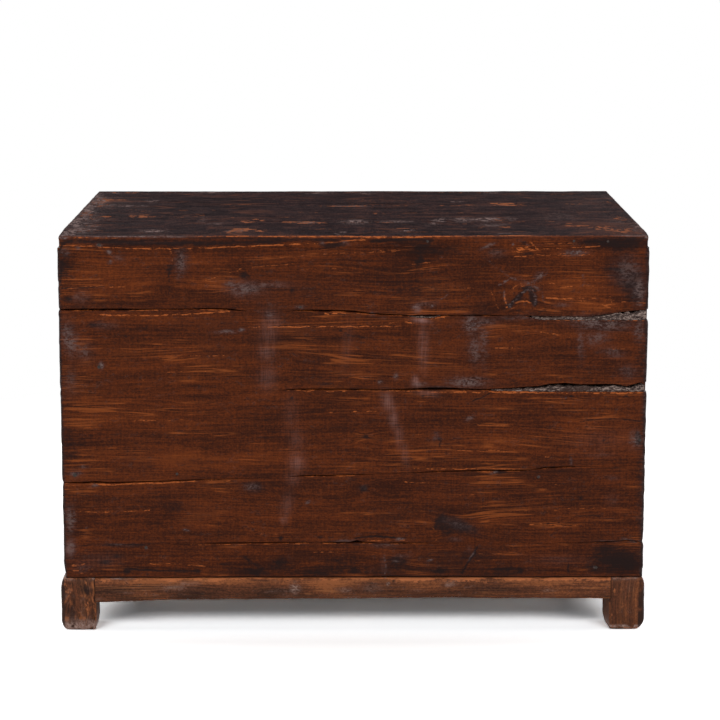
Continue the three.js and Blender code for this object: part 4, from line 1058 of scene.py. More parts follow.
def mark_back(board, number, along, low, high, low_open, high_open):
    points = points_of(board)
    x, z = points[:, 0], points[:, 2]
    spots = seen_at(points)
    worn, dark, haze, shade, smear = face_marks(spots, number)
    broken = 0.5 + 0.5 * mottle(x / 0.02, z / 0.003, number + 60)
    # Worn and stained edges along the open joints, and painted shade along the lowest board's lower edge,
    # where it meets the apron.
    from_low, from_high = z - np.interp(x, along, low), np.interp(x, along, high) - z
    high_edge = np.interp(x, along, high_open) * broken * fade(from_high / (1.3 * MM))
    worn = np.maximum(worn, 0.75 * high_edge)
    if number == 1:
        # Painted shade: a dark line along the lowest board's lower edge, above the apron.
        dark = np.maximum(dark, 0.9 * fade(from_low / (1.8 * MM)))
    else:
        low_edge = np.interp(x, along, low_open) * fade(from_low / (1.5 * MM))
        dark = np.maximum(dark, 0.35 * low_edge)
    # A dark line down each end, wider at the photograph's right.
    from_end = np.minimum(x - CARCASS_LEFT, CARCASS_RIGHT - x)
    line_width = np.where(x > 0, 8 * MM, 5.5 * MM)
    end_line = fade(from_end / line_width) * (z < TOP_UNDER - 4 * MM)
    dark = np.maximum(dark, 0.5 * fade(from_end / (7 * MM)) * (0.6 + 0.6 * broken))
    dark = np.maximum(dark, 0.85 * end_line)
    haze = np.maximum(haze * (1 - 0.7 * end_line), 0.42 * end_line * broken)
    grain = face_grain(points, spots, number) + 0.013 * number
    keep_marks(board, worn, dark, haze, grain, shade, smear)


def make_back():
    along = run_along(CARCASS_LEFT, CARCASS_RIGHT, LONG_CELLS, CORNER_ROUND)
    for number in range(1, BACK_BOARDS + 1):
        edges = back_edges(number, along)
        low, high, low_open, high_open = edges
        uneven = mottle(along / 0.03, number, 40 + number)
        low_round = (0.15 + low_open * (0.9 + 0.4 * uneven)) * MM
        if number == 1:
            low_round = np.full(len(along), 0.8 * MM)
        high_round = (0.15 + high_open * (1.3 - 0.6 * uneven)) * MM
        rows = int(np.mean(high - low) / ROW_HEIGHT) + 8
        rings = plank_rings(along, low, high, rows, BACK_FACE, BACK_INNER, low_round, high_round,
                            CORNER_ROUND, worn_back(number))
        board = ring_solid(f"worn_back_board_{number}", rings)
        mark_back(board, number, along, *edges)
        dress(board, [back_finish], "back_lacquer", f"back_board_{number}")


# The top

# Rows of points over a top board and down each open edge.
TOP_ROWS = 54
EDGE_ROWS = 20
TOP_END_ROUND = 3 * MM
TOP_CORNER_ROUND = 4 * MM
# Arrises at the back and front, and at the middle board's joints, then how far wear has drawn
# the ends in at the back corners.
OPEN_ROUND = 6 * MM
TOP_JOINT_ROUND = 1.2 * MM
DRAWN_IN = 2.9 * MM

# Scuffs on the top as the photograph shows them: patches of worn wood, its worn front arris,
# darker fields, and grey haze.
TOP_WORN = [
    ((86, 231), (18, 3), 0.4), ((88, 214), (5, 14), 0.5, -45), ((95, 226), (6, 1.4), 0.6),
    ((103, 206), (8, 1.6), 0.6), ((105, 201.5), (9, 4), 0.8, -20), ((109, 216.5), (10, 1), 0.5),
    ((116, 200), (14, 1), 0.6), ((125, 192.6), (26, 0.9), 0.5), ((142, 216.5), (14, 1.8), 0.8),
    ((160, 226), (30, 0.7), 0.25), ((177, 218), (6, 1.2), 0.55, -15), ((193, 216), (9, 1.6), 0.45, -10),
    ((200, 210), (40, 0.6), 0.25), ((205, 217), (2, 6), 0.35, 10), ((240, 230.4), (18, 2.4), 0.85, -3),
    ((245, 222), (8, 2), 0.75), ((258, 220), (6, 1.6), 0.7), ((262, 231), (9, 1.8), 0.75),
    ((290, 222), (14, 0.8), 0.6), ((310, 205.6), (30, 0.6), 0.35), ((310, 222.4), (20, 1.2), 0.8),
    ((322, 229), (14, 1), 0.4), ((350, 205.8), (30, 0.9), 0.6), ((350, 222.4), (24, 0.7), 0.4),
    ((378, 213.6), (9, 0.9), 0.5), ((388, 222), (14, 0.9), 0.6), ((411, 228.6), (20, 0.7), 0.7),
    ((420, 213), (60, 0.6), 0.3), ((430, 205.6), (60, 0.6), 0.35), ((455, 229), (60, 0.7), 0.25),
    ((460, 218), (6, 1.4), 0.5), ((470, 205.4), (14, 0.8), 0.55), ((480, 192.6), (26, 0.8), 0.45),
    ((497, 227.6), (20, 1.5), 0.6), ((500, 220), (9, 4), 0.45), ((507, 204.4), (20, 1.7), 0.8, 3),
    ((512, 222), (5, 4), 0.4), ((545, 214), (2, 6), 0.25, 20), ((549, 221), (5, 1), 0.4),
    ((560, 195), (60, 0.6), 0.25), ((573, 204), (14, 1), 0.35), ((575, 226), (16, 2.4), 0.4),
    ((590, 212), (24, 2), 0.25), ((604, 202), (12, 1), 0.4), ((612, 229), (36, 4.4), 0.5, 6),
    ((622, 218), (9, 3), 0.5), ((628, 208), (8, 5), 0.35, 35), ((640, 233), (12, 3), 0.5),
]
TOP_ARRIS = [
    ([(62, 236.8), (120, 236.4), (190, 236.4)], 0.5, 0.42),
    ([(190, 236.3), (270, 236.2), (350, 236.2)], 0.55, 0.8), ([(350, 236.6), (387, 237)], 0.6, 0.95),
    ([(393, 237), (413, 236.8)], 0.6, 0.9), ([(415, 236.6), (480, 236)], 0.6, 0.95),
    ([(480, 236), (530, 235.4)], 0.5, 0.75), ([(530, 235.4), (600, 235.2)], 0.4, 0.4),
    ([(600, 235.2), (645, 236)], 0.5, 0.42),
]
TOP_SHADES = [
    ((606, 229), (44, 8), 0.3), ((570, 224), (22, 5), 0.16), ((636, 231), (14, 6), 0.16),
    ((110, 203), (16, 6), 0.14),
]
TOP_HAZE = [
    ((64, 236.6), (5, 1.6), 0.9), ((66, 233), (6, 4), 0.85, -30), ((72, 231), (9, 6), 0.5, -30),
    ((74, 224), (5, 9), 0.85, -45), ((80, 219), (5, 8), 0.7, -45), ((82, 230), (14, 4), 0.5),
    ((86, 212), (5, 9), 0.75, -45), ((92, 204), (5, 9), 0.7, -45), ((94, 226), (6, 1.6), 0.5),
    ((96, 219), (10, 3), 0.4, -30), ((97, 196), (5, 2), 0.6), ((99, 199), (5, 9), 0.8, -45),
    ((109, 206), (6, 4), 0.4, -30), ((113, 193), (6, 0.9), 0.6), ((120, 203), (30, 6), 0.14),
    ((125, 236.2), (70, 0.9), 0.8), ((130, 206), (16, 0.9), 0.7), ((151, 200.6), (8, 1.4), 0.5),
    ((152, 231), (13, 1.5), 0.85), ((203, 220), (1.6, 6), 0.5, 20), ((212, 192.8), (20, 0.7), 0.7),
    ((217, 223.4), (10, 1), 0.6), ((236, 230.6), (12, 1.4), 0.5), ((300, 214), (80, 5), 0.1),
    ((310, 222.2), (20, 0.8), 0.5), ((318, 193.4), (14, 0.9), 0.5), ((342, 233), (4, 1.6), 0.6),
    ((353, 206), (26, 0.8), 0.45), ((353, 221.6), (14, 2.4), 0.75), ((365, 193.4), (14, 0.6), 0.5),
    ((395, 221.4), (24, 1.2), 0.5), ((411, 230.6), (5, 0.8), 0.8, -8), ((438, 221.5), (9, 2.4), 0.7, -25),
    ((440, 198), (90, 4), 0.1), ((459, 201.6), (4, 0.7), 0.9), ((463, 219.6), (9, 2.6), 0.8),
    ((486, 219.6), (13, 2.4), 0.85), ((492, 193.4), (9, 0.6), 0.6), ((492, 225), (16, 2), 0.4),
    ((505, 233.6), (16, 0.8), 0.5), ((510, 219), (5, 3), 0.4), ((560, 216), (30, 7), 0.22),
    ((590, 205), (40, 8), 0.16), ((607, 197), (6, 3), 0.4, 30), ((620, 222), (24, 7), 0.2),
    ((630, 235.8), (22, 1), 0.6), ((640, 226), (6, 7), 0.5, 40), ((647, 236.6), (4, 2), 0.9),
]


def slab_rings(along, start, end, start_round, end_round, far_open, worn):
    """Sections of a top board: its edges towards -Y and +Y, and the top between them."""
    under, top = TOP_UNDER, TOP_LEVEL
    turn = np.linspace(0, math.pi / 2, 7)
    path = [(end, under)]
    if far_open:
        path = [(end, z) for z in np.linspace(under, top - end_round, EDGE_ROWS, endpoint=False)]
    for angle in turn[:-1]:
        path.append((end - end_round * (1 - math.cos(angle)), top - end_round * (1 - math.sin(angle))))
    path += [(y, top) for y in np.linspace(end - end_round, start + start_round, TOP_ROWS)]
    for angle in turn[::-1][1:]:
        path.append((start + start_round * (1 - math.cos(angle)), top - start_round * (1 - math.sin(angle))))
    path += [(start, z) for z in np.linspace(top - start_round, under, EDGE_ROWS)[1:]]
    x, y, z = same_section(along, np.array(path))
    from_end = to_nearest_end(along)
    fall = rounding(from_end, TOP_END_ROUND)
    level = np.clip((z - under) / (top - under), 0, 1)
    z = z - fall * level**2
    inward = np.sign((start + end) / 2 - y)
    near_edge = np.maximum((start + start_round - y) / start_round, (y - end + end_round) / end_round)
    at_edge = np.clip(near_edge, 0, 1)
    y = y + inward * 0.5 * fall * at_edge
    # Wear has drawn the ends in towards the back corners, further along at the photograph's left,
    # and rounded the top's four corners in plan.
    reach, power = np.where(x < 0, 0.11, 0.05), np.where(x < 0, 1.3, 1.5)
    drawn_in = DRAWN_IN * np.clip(1 - (y - BACK_FACE) / reach, 0, 1) ** power
    x = x - np.sign(x) * drawn_in * np.clip(1 - from_end / (20 * MM), 0, 1)
    for edge, is_open in ((start, start_round == OPEN_ROUND), (end, far_open)):
        if is_open:
            corner = rounding(np.abs(y - edge), TOP_CORNER_ROUND)
            x = x - np.sign(x) * corner * np.clip(1 - from_end / (16 * MM), 0, 1)
    dip, inset = worn(x, y, z)
    return np.stack([x, y + inward * inset * at_edge, z - dip * level], -1)


def worn_top(number, start, is_open, seed):
    """How far wear has lowered a top board, and drawn its edges in."""

    def worn(x, y, z):
        dip = 0.4 * MM * (1 + mottle(x / 0.06, y / 0.03, seed))
        dip = dip + 0.12 * MM * mottle(x / 0.02, y / 0.004, seed + 1)
        nicks = np.clip(mottle(x / 0.018, number, seed + 2) - 0.35, 0, 1)
        dip = dip + 1.6 * MM * nicks * fade((y - start) / (4 * MM)) * is_open
        return np.maximum(dip, 0), 0.3 * MM * (1 + mottle(x / 0.04, z / 0.01, seed + 3))

    return worn


def mark_top(board, number, seed):
    points = points_of(board)
    x, y, z = points.T
    spots = seen_at(points)
    rough = mottle(x / 0.01, y / 0.006, seed)
    streak = mottle(x / 0.09, y / 0.006, seed + 4)
    wobble = spots + np.stack([7 * rough, 0.7 * streak], -1)
    worn = patches_at(wobble, TOP_WORN) * (0.9 + 0.3 * rough)
    worn = np.maximum(worn, lines_at(spots, TOP_ARRIS) * (0.8 + 0.4 * streak))
    worn = np.maximum(worn, 0.6 * np.clip(streak - 0.55, 0, 1))
    haze = patches_at(wobble, TOP_HAZE)
    # The edge that the photograph shows has the back's marks, and near its arris the top's too.
    face_worn, dark, face_haze, shade, _ = face_marks(spots, seed)
    on_edge, on_arris = y < BACK_FACE + 1.5 * MM, z > TOP_LEVEL - 4 * MM
    worn = np.where(on_edge, np.maximum(face_worn, worn * on_arris), worn)
    haze = np.where(on_edge, np.maximum(face_haze, haze * on_arris), haze)
    dark = np.where(on_edge, dark, 0)
    shade = np.where(on_edge, shade, fields_at(wobble, TOP_SHADES))
    grain = 0.02 * number + 0.02 * mottle(x / 0.2, y / 0.2, seed + 6, 2)
    keep_marks(board, worn, dark, haze, grain, shade)


def lacquer_back_edge(board):
    """Gives the faces of a top board's back edge its second finish."""
    middles = np.zeros(len(board.data.polygons) * 3)
    board.data.polygons.foreach_get("center", middles)
    is_edge = middles[1::3] < BACK_FACE + 4.6 * MM
    board.data.polygons.foreach_set("material_index", is_edge.astype(np.int32))
    board.data.update()


def make_top():
    along = run_along(CARCASS_LEFT, CARCASS_RIGHT, LONG_CELLS, CORNER_ROUND)
    boards = [("top_board_back", OPEN_ROUND, 1 * MM, False),
              ("top_board_middle", TOP_JOINT_ROUND, TOP_JOINT_ROUND, False),
              ("top_board_front", 1 * MM, OPEN_ROUND, True)]
    for number, (node, start_round, end_round, far_open) in enumerate(boards):
        low_corner, high_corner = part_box(node)
        seed = 80 + 7 * number
        worn = worn_top(number, low_corner.y, start_round == OPEN_ROUND, seed)
        rings = slab_rings(along, low_corner.y, high_corner.y, start_round, end_round, far_open, worn)
        board = ring_solid(f"worn_{node}", rings)
        mark_top(board, number, seed)
        dress(board, [top_finish, back_finish], "top_lacquer", node)
        if node == "top_board_back":
            lacquer_back_edge(board)


# The sides

# Stains: middle along the side and in height, half sizes in metres, and strength.
SIDE_STAINS = [
    ((0.10, 0.50), (0.012, 0.008), 0.8), ((-0.16, 0.33), (0.016, 0.009), 0.8),
    ((0.20, 0.20), (0.010, 0.008), 0.7), ((-0.05, 0.14), (0.03, 0.01), 0.5),
    ((-0.22, 0.52), (0.05, 0.02), 0.4), ((0.24, 0.40), (0.04, 0.03), 0.4),
]
SIDE_BOARDS = 3
SIDE_ROW = 2.2 * MM
SIDE_PLAY = 0.3 * MM


def worn_side(seed):
    """Shallow hollows and saw marks in a side board."""

    def worn(x, y, z, from_end):
        hollow = 0.4 * MM * (1 + mottle(x / 0.06, z / 0.025, seed))
        hollow = hollow + 0.12 * MM * mottle(x / 0.004, z / 0.03, seed + 1)
        return x, y + np.maximum(hollow, 0)

    return worn


def mark_side(board, number, low, high, seed):
    points = points_of(board)
    x, z = points[:, 0], points[:, 2]
    broken = 0.5 + 0.5 * mottle(x / 0.02, z / 0.003, seed + 2)
    worn = 0.7 * broken * fade((high - z) / (1.6 * MM))
    dark = 0.3 * fade((z - low) / (2 * MM))
    grain = 0.012 * number + 0.006 * mottle(x / 0.2, z / 0.1, seed + 3, 2)
    places = points[:, [0, 2]]
    for middle, halves, strength in SIDE_STAINS:
        dark = np.maximum(dark, strength * fade(apart(places, middle, halves)))
        around = fade(apart(places, middle, (2.4 * halves[0], 2 * halves[1])))
        grain = grain + 0.008 * np.tanh((z - middle[1]) / halves[1]) * around
    keep_marks(board, worn, dark, 0, grain)


def make_sides():
    along = run_along(BACK_INNER + SIDE_PLAY, FRONT_INNER - SIDE_PLAY, 200, 1 * MM)
    for word, sign in (("left", 1), ("right", -1)):
        for number in range(1, SIDE_BOARDS + 1):
            node = f"side_board_{word}_{number}"
            low_corner, high_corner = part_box(node)
            seed = 120 + 10 * number + (5 if sign > 0 else 0)
            wave = 0.5 * MM * (1 + mottle(along / 0.05, number, seed))
            low = low_corner.z + wave * (number > 1)
            high = high_corner.z - wave[::-1] * (number < SIDE_BOARDS)
            rows = int((high_corner.z - low_corner.z) / SIDE_ROW) + 10
            local = along if sign > 0 else -along[::-1]
            rings = plank_rings(local, low, high, rows, -CARCASS_RIGHT, -SIDE_INNER,
                                1.3 * MM, 1.6 * MM, 0.8 * MM, worn_side(seed))
            board = ring_solid(f"worn_{node}", rings)
            mark_side(board, number, low_corner.z, high_corner.z, seed)
            quarter_turn(board, sign)
            dress(board, [side_finish], "side_lacquer", node)


# The base

APRON_TENON = 22.3 * MM
APRON_THICK = 26 * MM
APRON_INSET = 6 * MM
APRON_DROP = 22 * MM
APRON_ARRIS = 1.4 * MM
BASE_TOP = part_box("foot_back_left")[1].z
APRON_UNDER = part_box("apron_back")[0].z
# The base stands a little off the middle, with less overhang towards +X.
BASE_SHORT = 2.2 * MM

# The back apron's own marks in the photograph: lighter and darker fields, haze, a pale scratch
# and a dark spot.
APRON_SHADES = [
    ((328, 586), (18, 9), 0.3), ((233, 580.5), (19, 3), 0.26), ((190, 594), (20, 4), -0.26),
    ((268, 594), (18, 4), -0.26), ((150, 581), (16, 3), 0.14), ((120, 592), (14, 5), -0.14),
    ((420, 586), (20, 5), 0.18), ((470, 593), (26, 4), -0.16), ((372, 586), (9, 6), -0.18),
    ((530, 582), (30, 4), 0.2), ((560, 592), (26, 4), 0.12), ((500, 580), (12, 3), -0.12),
]
APRON_HAZE = [
    ((120, 578.4), (16, 1.2), 0.7), ((174, 588), (20, 3.4), 0.34), ((295, 588), (6, 7), 0.6),
    ((345, 590), (9, 3), 0.4), ((372, 588), (12, 5), 0.25),
]
APRON_SCRATCHES = [([(384, 572), (386, 578), (389, 586), (390, 596)], 0.7, 0.8)]
APRON_SPOTS = [((394, 581), (2.2, 1.8), 0.9)]


def apron_path(face):
    """An apron's section: the rounded shoulder, the face with its lower arris, and the inside."""
    path = [(face + APRON_THICK, APRON_UNDER), (face + APRON_THICK, BASE_TOP)]
    for step in np.linspace(0, 1, 16):
        path.append((face + APRON_INSET * (1 - step) ** 2, BASE_TOP - APRON_DROP * step**2))
    path += [(face, z) for z in np.linspace(BASE_TOP - APRON_DROP, APRON_UNDER + APRON_ARRIS, 12)[1:]]
    for angle in np.linspace(0, math.pi / 2, 5)[1:]:
        inward, upward = 1 - math.cos(angle), 1 - math.sin(angle)
        path.append((face + APRON_ARRIS * inward, APRON_UNDER + APRON_ARRIS * upward))
    return np.array(path)


def apron_rings(along, face, is_back, seed):
    """An apron's sections, with its hollowed underside, uneven face and nicked shoulder."""
    x, y, z = same_section(along, apron_path(face))
    if is_back:
        rise = MM * shown_along(APRON_RISES, along, face) + 0.3 * MM * mottle(along / 0.02, 0, seed + 6)
    else:
        rise = 0.8 * MM * (1 + mottle(along / 0.09, 0, seed + 6))
    straight_top = BASE_TOP - APRON_DROP
    low_share = np.clip((straight_top - z) / (straight_top - APRON_UNDER), 0, 1)
    z = z + np.maximum(rise, 0)[:, None] * low_share
    outer = y < face + APRON_INSET + 1 * MM
    y = y + outer * rounding(to_nearest_end(along), 1.2 * MM)
    y = y + outer * 0.35 * MM * np.maximum(1 + mottle(x / 0.05, z / 0.02, seed), 0)
    nicks = np.clip(mottle(x / 0.02, z / 0.05, seed + 1) - 0.4, 0, 1)
    lowered = 0.3 * MM * (1 + mottle(x / 0.03, 0, seed + 2)) + 1.4 * MM * nicks
    z = z - fade((BASE_TOP - z) / (3 * MM)) * outer * lowered
    return np.stack([x, y, z], -1)


def mark_apron(apron, number, is_back, seed):
    bench = points_of(apron)
    x, z = bench[:, 0], bench[:, 2]
    from_top, from_under = BASE_TOP - z, z - APRON_UNDER
    broken = mottle(x / 0.025, z / 0.006, seed + 3)
    worn = 0.7 * fade(from_top / (7 * MM)) * (0.75 + 0.6 * broken)
    worn = np.maximum(worn, 1.0 * fade(from_top / (2.6 * MM)) * (0.8 + 0.4 * broken))
    worn = np.maximum(worn, 0.35 * fade(from_under / (1.5 * MM)) * (0.6 + 0.5 * broken))
    dark = 0.3 * fade(from_under / (6 * MM)) * (0.6 + 0.5 * broken)
    # Painted light and shade: lighter over the rounded shoulder at the top, darker low down.
    shade = 0.16 * fade(from_top / (12 * MM)) - 0.14 * fade(from_under / (16 * MM))
    haze = 0.4 * np.clip(mottle(x / 0.05, z / 0.012, seed + 4) - 0.3, 0, 1)
    if is_back:
        spots = seen_at(bench)
        for marks in (lines_at(spots, APRON_SCRATCHES), patches_at(spots, APRON_HAZE)):
            haze = np.maximum(haze, marks)
        dark = np.maximum(dark, patches_at(spots, APRON_SPOTS))
        drifting = spots + np.stack([5 * broken, 1.2 * broken], -1)
        shade = shade + fields_at(drifting, SHADE_PATCHES + APRON_SHADES)
    grain = 0.015 * number + 0.003 * mottle(x / 0.15, 0, seed + 5)
    keep_marks(apron, worn, dark, haze, grain, shade)


def make_aprons():
    # Node, the axis it runs along, and how it is turned from facing -Y.
    aprons = [("apron_back", 0, "none"), ("apron_front", 0, "half"), ("apron_left", 1, "left"),
              ("apron_right", 1, "right")]
    for number, (node, axis, turn) in enumerate(aprons):
        low_corner, high_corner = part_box(node)
        start, end = low_corner[axis] + APRON_TENON, high_corner[axis] - APRON_TENON
        end -= BASE_SHORT * (axis == 0)
        if turn in ("half", "right"):
            start, end = -end, -start
        faces = {"none": low_corner.y, "half": -high_corner.y, "left": BASE_SHORT - high_corner.x,
                 "right": low_corner.x}
        along = run_along(start, end, 200, 1.2 * MM)
        seed = 200 + 9 * number
        apron = ring_solid(f"worn_{node}", apron_rings(along, faces[turn], turn == "none", seed))
        mark_apron(apron, number, turn == "none", seed)
        if turn == "half":
            move_points(apron, points_of(apron) * np.array([-1, -1, 1]))
        elif turn != "none":
            quarter_turn(apron, 1 if turn == "left" else -1)
        dress(apron, [base_level if axis == 0 else base_deep], "base_lacquer", node)


FOOT_WIDTH = 54 * MM
FOOT_SEAM = 52 * MM
FOOT_ROUND = 7 * MM
FOOT_EASE = 0.8 * MM
WORN_RISE = 5 * MM
BLUNT_TOE = 0.62


def share_left(z, height):
    """1 on the floor, falling to 0 at a height."""
    return max(0, 1 - z / height)


def foot_outline(z, inner, toe):
    """A foot's section at one height, from its inner corner round its outer one and back."""
    shoulder = APRON_INSET * max(0, 1 - math.sqrt((BASE_TOP - z) / APRON_DROP)) ** 2
    across = shoulder + toe * (8 * MM * share_left(z, 18 * MM) ** 1.9 + 7 * MM * share_left(z, 2.6 * MM) ** 2)
    deep = shoulder + 3 * MM * share_left(z, 12 * MM) ** 2.2 + 1.5 * MM * share_left(z, 2.2 * MM) ** 2
    outline = [(u, deep) for u in np.linspace(inner - FOOT_EASE, across + FOOT_ROUND, 44)]
    for angle in np.linspace(0, math.pi / 2, 10)[1:-1]:
        inward, backward = 1 - math.sin(angle), 1 - math.cos(angle)
        outline.append((across + FOOT_ROUND * inward, deep + FOOT_ROUND * backward))
    outline += [(across, v) for v in np.linspace(deep + FOOT_ROUND, inner - FOOT_EASE, 36)]
    outline += [(u, inner) for u in np.linspace(across + FOOT_EASE, inner - FOOT_EASE, 12)]
    outline += [(inner, v) for v in np.linspace(inner - FOOT_EASE, deep + FOOT_EASE, 12)]
    return [(u, v, z) for u, v in outline]


def foot_sections(seed, toe, rise):
    """A foot's sections from the floor up, in distances from its outer corner: across, deep, up."""
    under = APRON_UNDER + rise - 0.3 * MM
    over = under + 0.1 * MM
    levels = np.concatenate([
        np.linspace(0, 6 * MM, 11), np.linspace(6 * MM, under, 32)[1:], [over],
        np.linspace(over, BASE_TOP - 5 * MM, 27)[1:], np.linspace(BASE_TOP - 5 * MM, BASE_TOP, 13)[1:],
    ])
    rings = []
    for z in levels:
        inner = FOOT_SEAM if z > under else FOOT_WIDTH - 2.6 * MM * share_left(z, 16 * MM) ** 1.5
        rings.append(foot_outline(z, inner, toe))
    rings = np.array(rings)
    u, v, z = rings[..., 0], rings[..., 1], rings[..., 2]
    uneven = 0.35 * MM * (1 + mottle(u / 0.02 + v / 0.02, z / 0.02, seed))
    uneven = uneven + 0.15 * MM * mottle(u / 0.004 + v / 0.004, z / 0.006, seed + 1)
    scuffed = np.clip(0.4 + mottle(u / 0.009 + v / 0.007, z / 0.004, seed + 2), 0, 1)
    away = np.maximum(uneven, 0) + 0.9 * MM * fade(z / (7 * MM)) * scuffed
    middle = 0.5 * FOOT_WIDTH
    rings[..., 0] = np.where(u < FOOT_SEAM - 1 * MM, u + away * np.clip((middle - u) / middle, 0, 1), u)
    rings[..., 1] = np.where(v < FOOT_SEAM - 1 * MM, v + away * np.clip((middle - v) / middle, 0, 1), v)
    return rings


def splayed(sections, rise):
    """Spreads a foot's inner side below the apron, more the deeper it lies."""
    across, deep, up = sections[..., 0] / FOOT_WIDTH, sections[..., 1] / FOOT_WIDTH, sections[..., 2]
    below = up < APRON_UNDER + rise - 0.25 * MM
    sections[..., 0] += 5 * MM * np.clip(deep, 0, 1) * np.clip(across - 0.5, 0, 0.5) * 2 * below
    return sections


def mark_foot(foot, number, across, deep, up, seed):
    """Marks a foot by its distances from its outer corner and the floor, with painted shade down its
    outer corner and along its sole. The one at the photograph's left is paler than the others."""
    pale, at_back = number == 1, number < 2
    broken = mottle(across / 0.01 + deep / 0.008, up / 0.01, seed + 3)
    from_top = BASE_TOP - up
    # Painted shade: a dark outline down the rounded outer corner, mostly near the back face.
    outline = np.clip(((7 if pale else 11) * MM - across) / (2 * MM), 0, 1)
    outline = outline * np.clip(from_top / (4 * MM), 0, 1) * np.clip(up / (5 * MM), 0, 1)
    outline = outline * np.clip((13 * MM - deep) / (6 * MM), 0, 1) * (1 if at_back else 0.4)
    # Worn wood in spots, at the shoulder, at the sole and down the inner arris.
    glow = np.clip(mottle(across / 0.012 + deep / 0.012, up / 0.02, seed + 9) - 0.2, 0, 1)
    worn = np.maximum(0.5 * glow, 0.5 * fade(from_top / (2.6 * MM)) * (0.7 + 0.5 * broken))
    worn = np.maximum(worn, 0.8 * fade(up / (9 * MM)) * np.clip(0.8 + 1.5 * broken, 0, 1))
    worn = np.maximum(worn, 0.6 * fade((FOOT_WIDTH - across) / (1.4 * MM)) * fade(deep / (2 * MM)))
    # Chalky dirt round the sole, and a little of it elsewhere.
    rim = fade(up / (15 * MM)) if pale else fade(np.abs(up - 5.5 * MM) / (2.4 * MM))
    haze = rim * np.clip(1.1 + 1.6 * broken, 0, 1)
    haze = np.maximum(haze, 0.5 * fade(from_top / (4 * MM)) * np.clip(0.8 + broken, 0, 1))
    smoky = np.clip(mottle(across / 0.011 + deep / 0.011, up / 0.013, seed + 7), 0, 1)
    haze = np.maximum(haze, (0.25 if pale else 0.12) * smoky)
    chalk = (0.85 if pale else 0.7) * rim * np.clip(0.9 + 1.5 * broken, 0, 1) * (1 - 0.8 * outline)
    # Stains, the seam with the apron, and painted shade along the edge of the sole, where it meets the floor.
    dark = np.clip(mottle(across / 0.02 + deep / 0.02, up / 0.03, seed + 8), 0, 1) * (0.8 if pale else 0.4)
    dark = np.maximum(dark, outline * (0.9 + 0.4 * broken))
    dark = np.maximum(dark, 0.6 * fade((FOOT_SEAM - across) / (1.2 * MM)) * (up > APRON_UNDER))
    dark = np.maximum(dark, 0.9 * fade(up / (1.6 * MM)))
    specks = np.clip(mottle(across / 0.006 + deep / 0.006, up / 0.009, seed + 6) - 0.05, 0, 1)
    shade = 0.6 * specks - 0.13 if pale else 0.12 * specks + 0.03
    grain = 0.02 * number + (5 if pale else -1.2) * (up - 0.045) ** 2
    clear = 1 - 0.9 * outline
    keep_marks(foot, worn * clear, dark, haze * clear, grain, shade, chalk)


def make_feet():
    feet = [("back", "left"), ("back", "right"), ("front", "left"), ("front", "right")]
    for number, (depth, word) in enumerate(feet):
        node = f"foot_{depth}_{word}"
        low_corner, high_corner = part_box(node)
        towards_x, towards_y = (1 if word == "left" else -1), (1 if depth == "front" else -1)
        seed = 260 + 5 * number
        # The foot at the photograph's left is blunter, and the one at its right meets the apron
        # higher and has spread.
        rise = WORN_RISE if number == 0 else 0
        sections = foot_sections(seed, BLUNT_TOE if number == 1 else 1.0, rise)
        if number == 0:
            sections = splayed(sections, rise)
        corner_x = high_corner.x - BASE_SHORT if towards_x > 0 else low_corner.x
        corner_y = high_corner.y if towards_y > 0 else low_corner.y
        rings = sections.copy()
        rings[..., 0] = corner_x - towards_x * sections[..., 0]
        rings[..., 1] = corner_y - towards_y * sections[..., 1]
        if towards_x * towards_y > 0:
            rings = rings[:, ::-1]
        foot = ring_solid(f"worn_{node}", rings)
        x, y, up = points_of(foot).T
        mark_foot(foot, number, (corner_x - x) * towards_x, (corner_y - y) * towards_y, up, seed)
        dress(foot, [base_upright], "base_lacquer", node)


# Pieces that keep their CAD shape, with worn arrises


def copied(node, name):
    """A copy of a CAD node whose loose triangles are merged into whole faces."""
    piece = bpy.data.objects.new(name, nodes[node].data.copy())
    scene.collection.objects.link(piece)
    bpy.ops.object.select_all(action="DESELECT")
    piece.select_set(True)
    bpy.context.view_layer.objects.active = piece
    bpy.ops.object.mode_set(mode="EDIT")
    bpy.ops.mesh.select_all(action="SELECT")
    bpy.ops.mesh.remove_doubles(threshold=0.01 * MM)
    bpy.ops.mesh.dissolve_limited(angle_limit=math.radians(0.6))
    bpy.ops.object.mode_set(mode="OBJECT")
    return piece


def finished(piece, kind, **settings):
    """Adds a modifier to the active piece and applies it."""
    modifier = piece.modifiers.new(kind.lower(), kind)
    for key, value in settings.items():
        setattr(modifier, key, value)
    bpy.ops.object.modifier_apply(modifier=modifier.name)


def soften(node, finishes, slot):
    """Eases a piece's arrises, which take the last of its finishes."""
    piece = copied(node, f"eased_{node}")
    finished(piece, "BEVEL", width=1 * MM, segments=3, limit_method="ANGLE", angle_limit=BEVEL_OVER,
             material=len(finishes) - 1, use_clamp_overlap=True)
    bpy.ops.object.shade_smooth_by_angle(angle=SMOOTH_UNDER)
    # The name's letters set which growth ring each piece was cut from.
    cut_from = 0.017 * (len(node) % 7) + 0.009 * (sum(map(ord, node)) % 11)
    keep_marks(piece, 0, 0, 0, cut_from)
    dress(piece, finishes, slot, node)


def make_front():
    words = ("left", "right")
    upright = [f"front_{kind}_{word}" for kind in ("stile", "muntin") for word in words]
    upright += [f"door_{word}_{kind}_stile" for kind in ("hinge", "meeting") for word in words]
    level = ["front_rail_top", "front_rail_bottom"]
    level += [f"door_{word}_{kind}_rail" for kind in ("top", "bottom") for word in words]
    for node in upright:
        soften(node, [front_upright, front_worn], "front_lacquer")
    for node in level:
        soften(node, [front_level, front_worn], "front_lacquer")
    for node in ("front_panel_left", "front_panel_right", "door_left_panel", "door_right_panel"):
        soften(node, [panel_finish, panel_worn], "panel_lacquer")


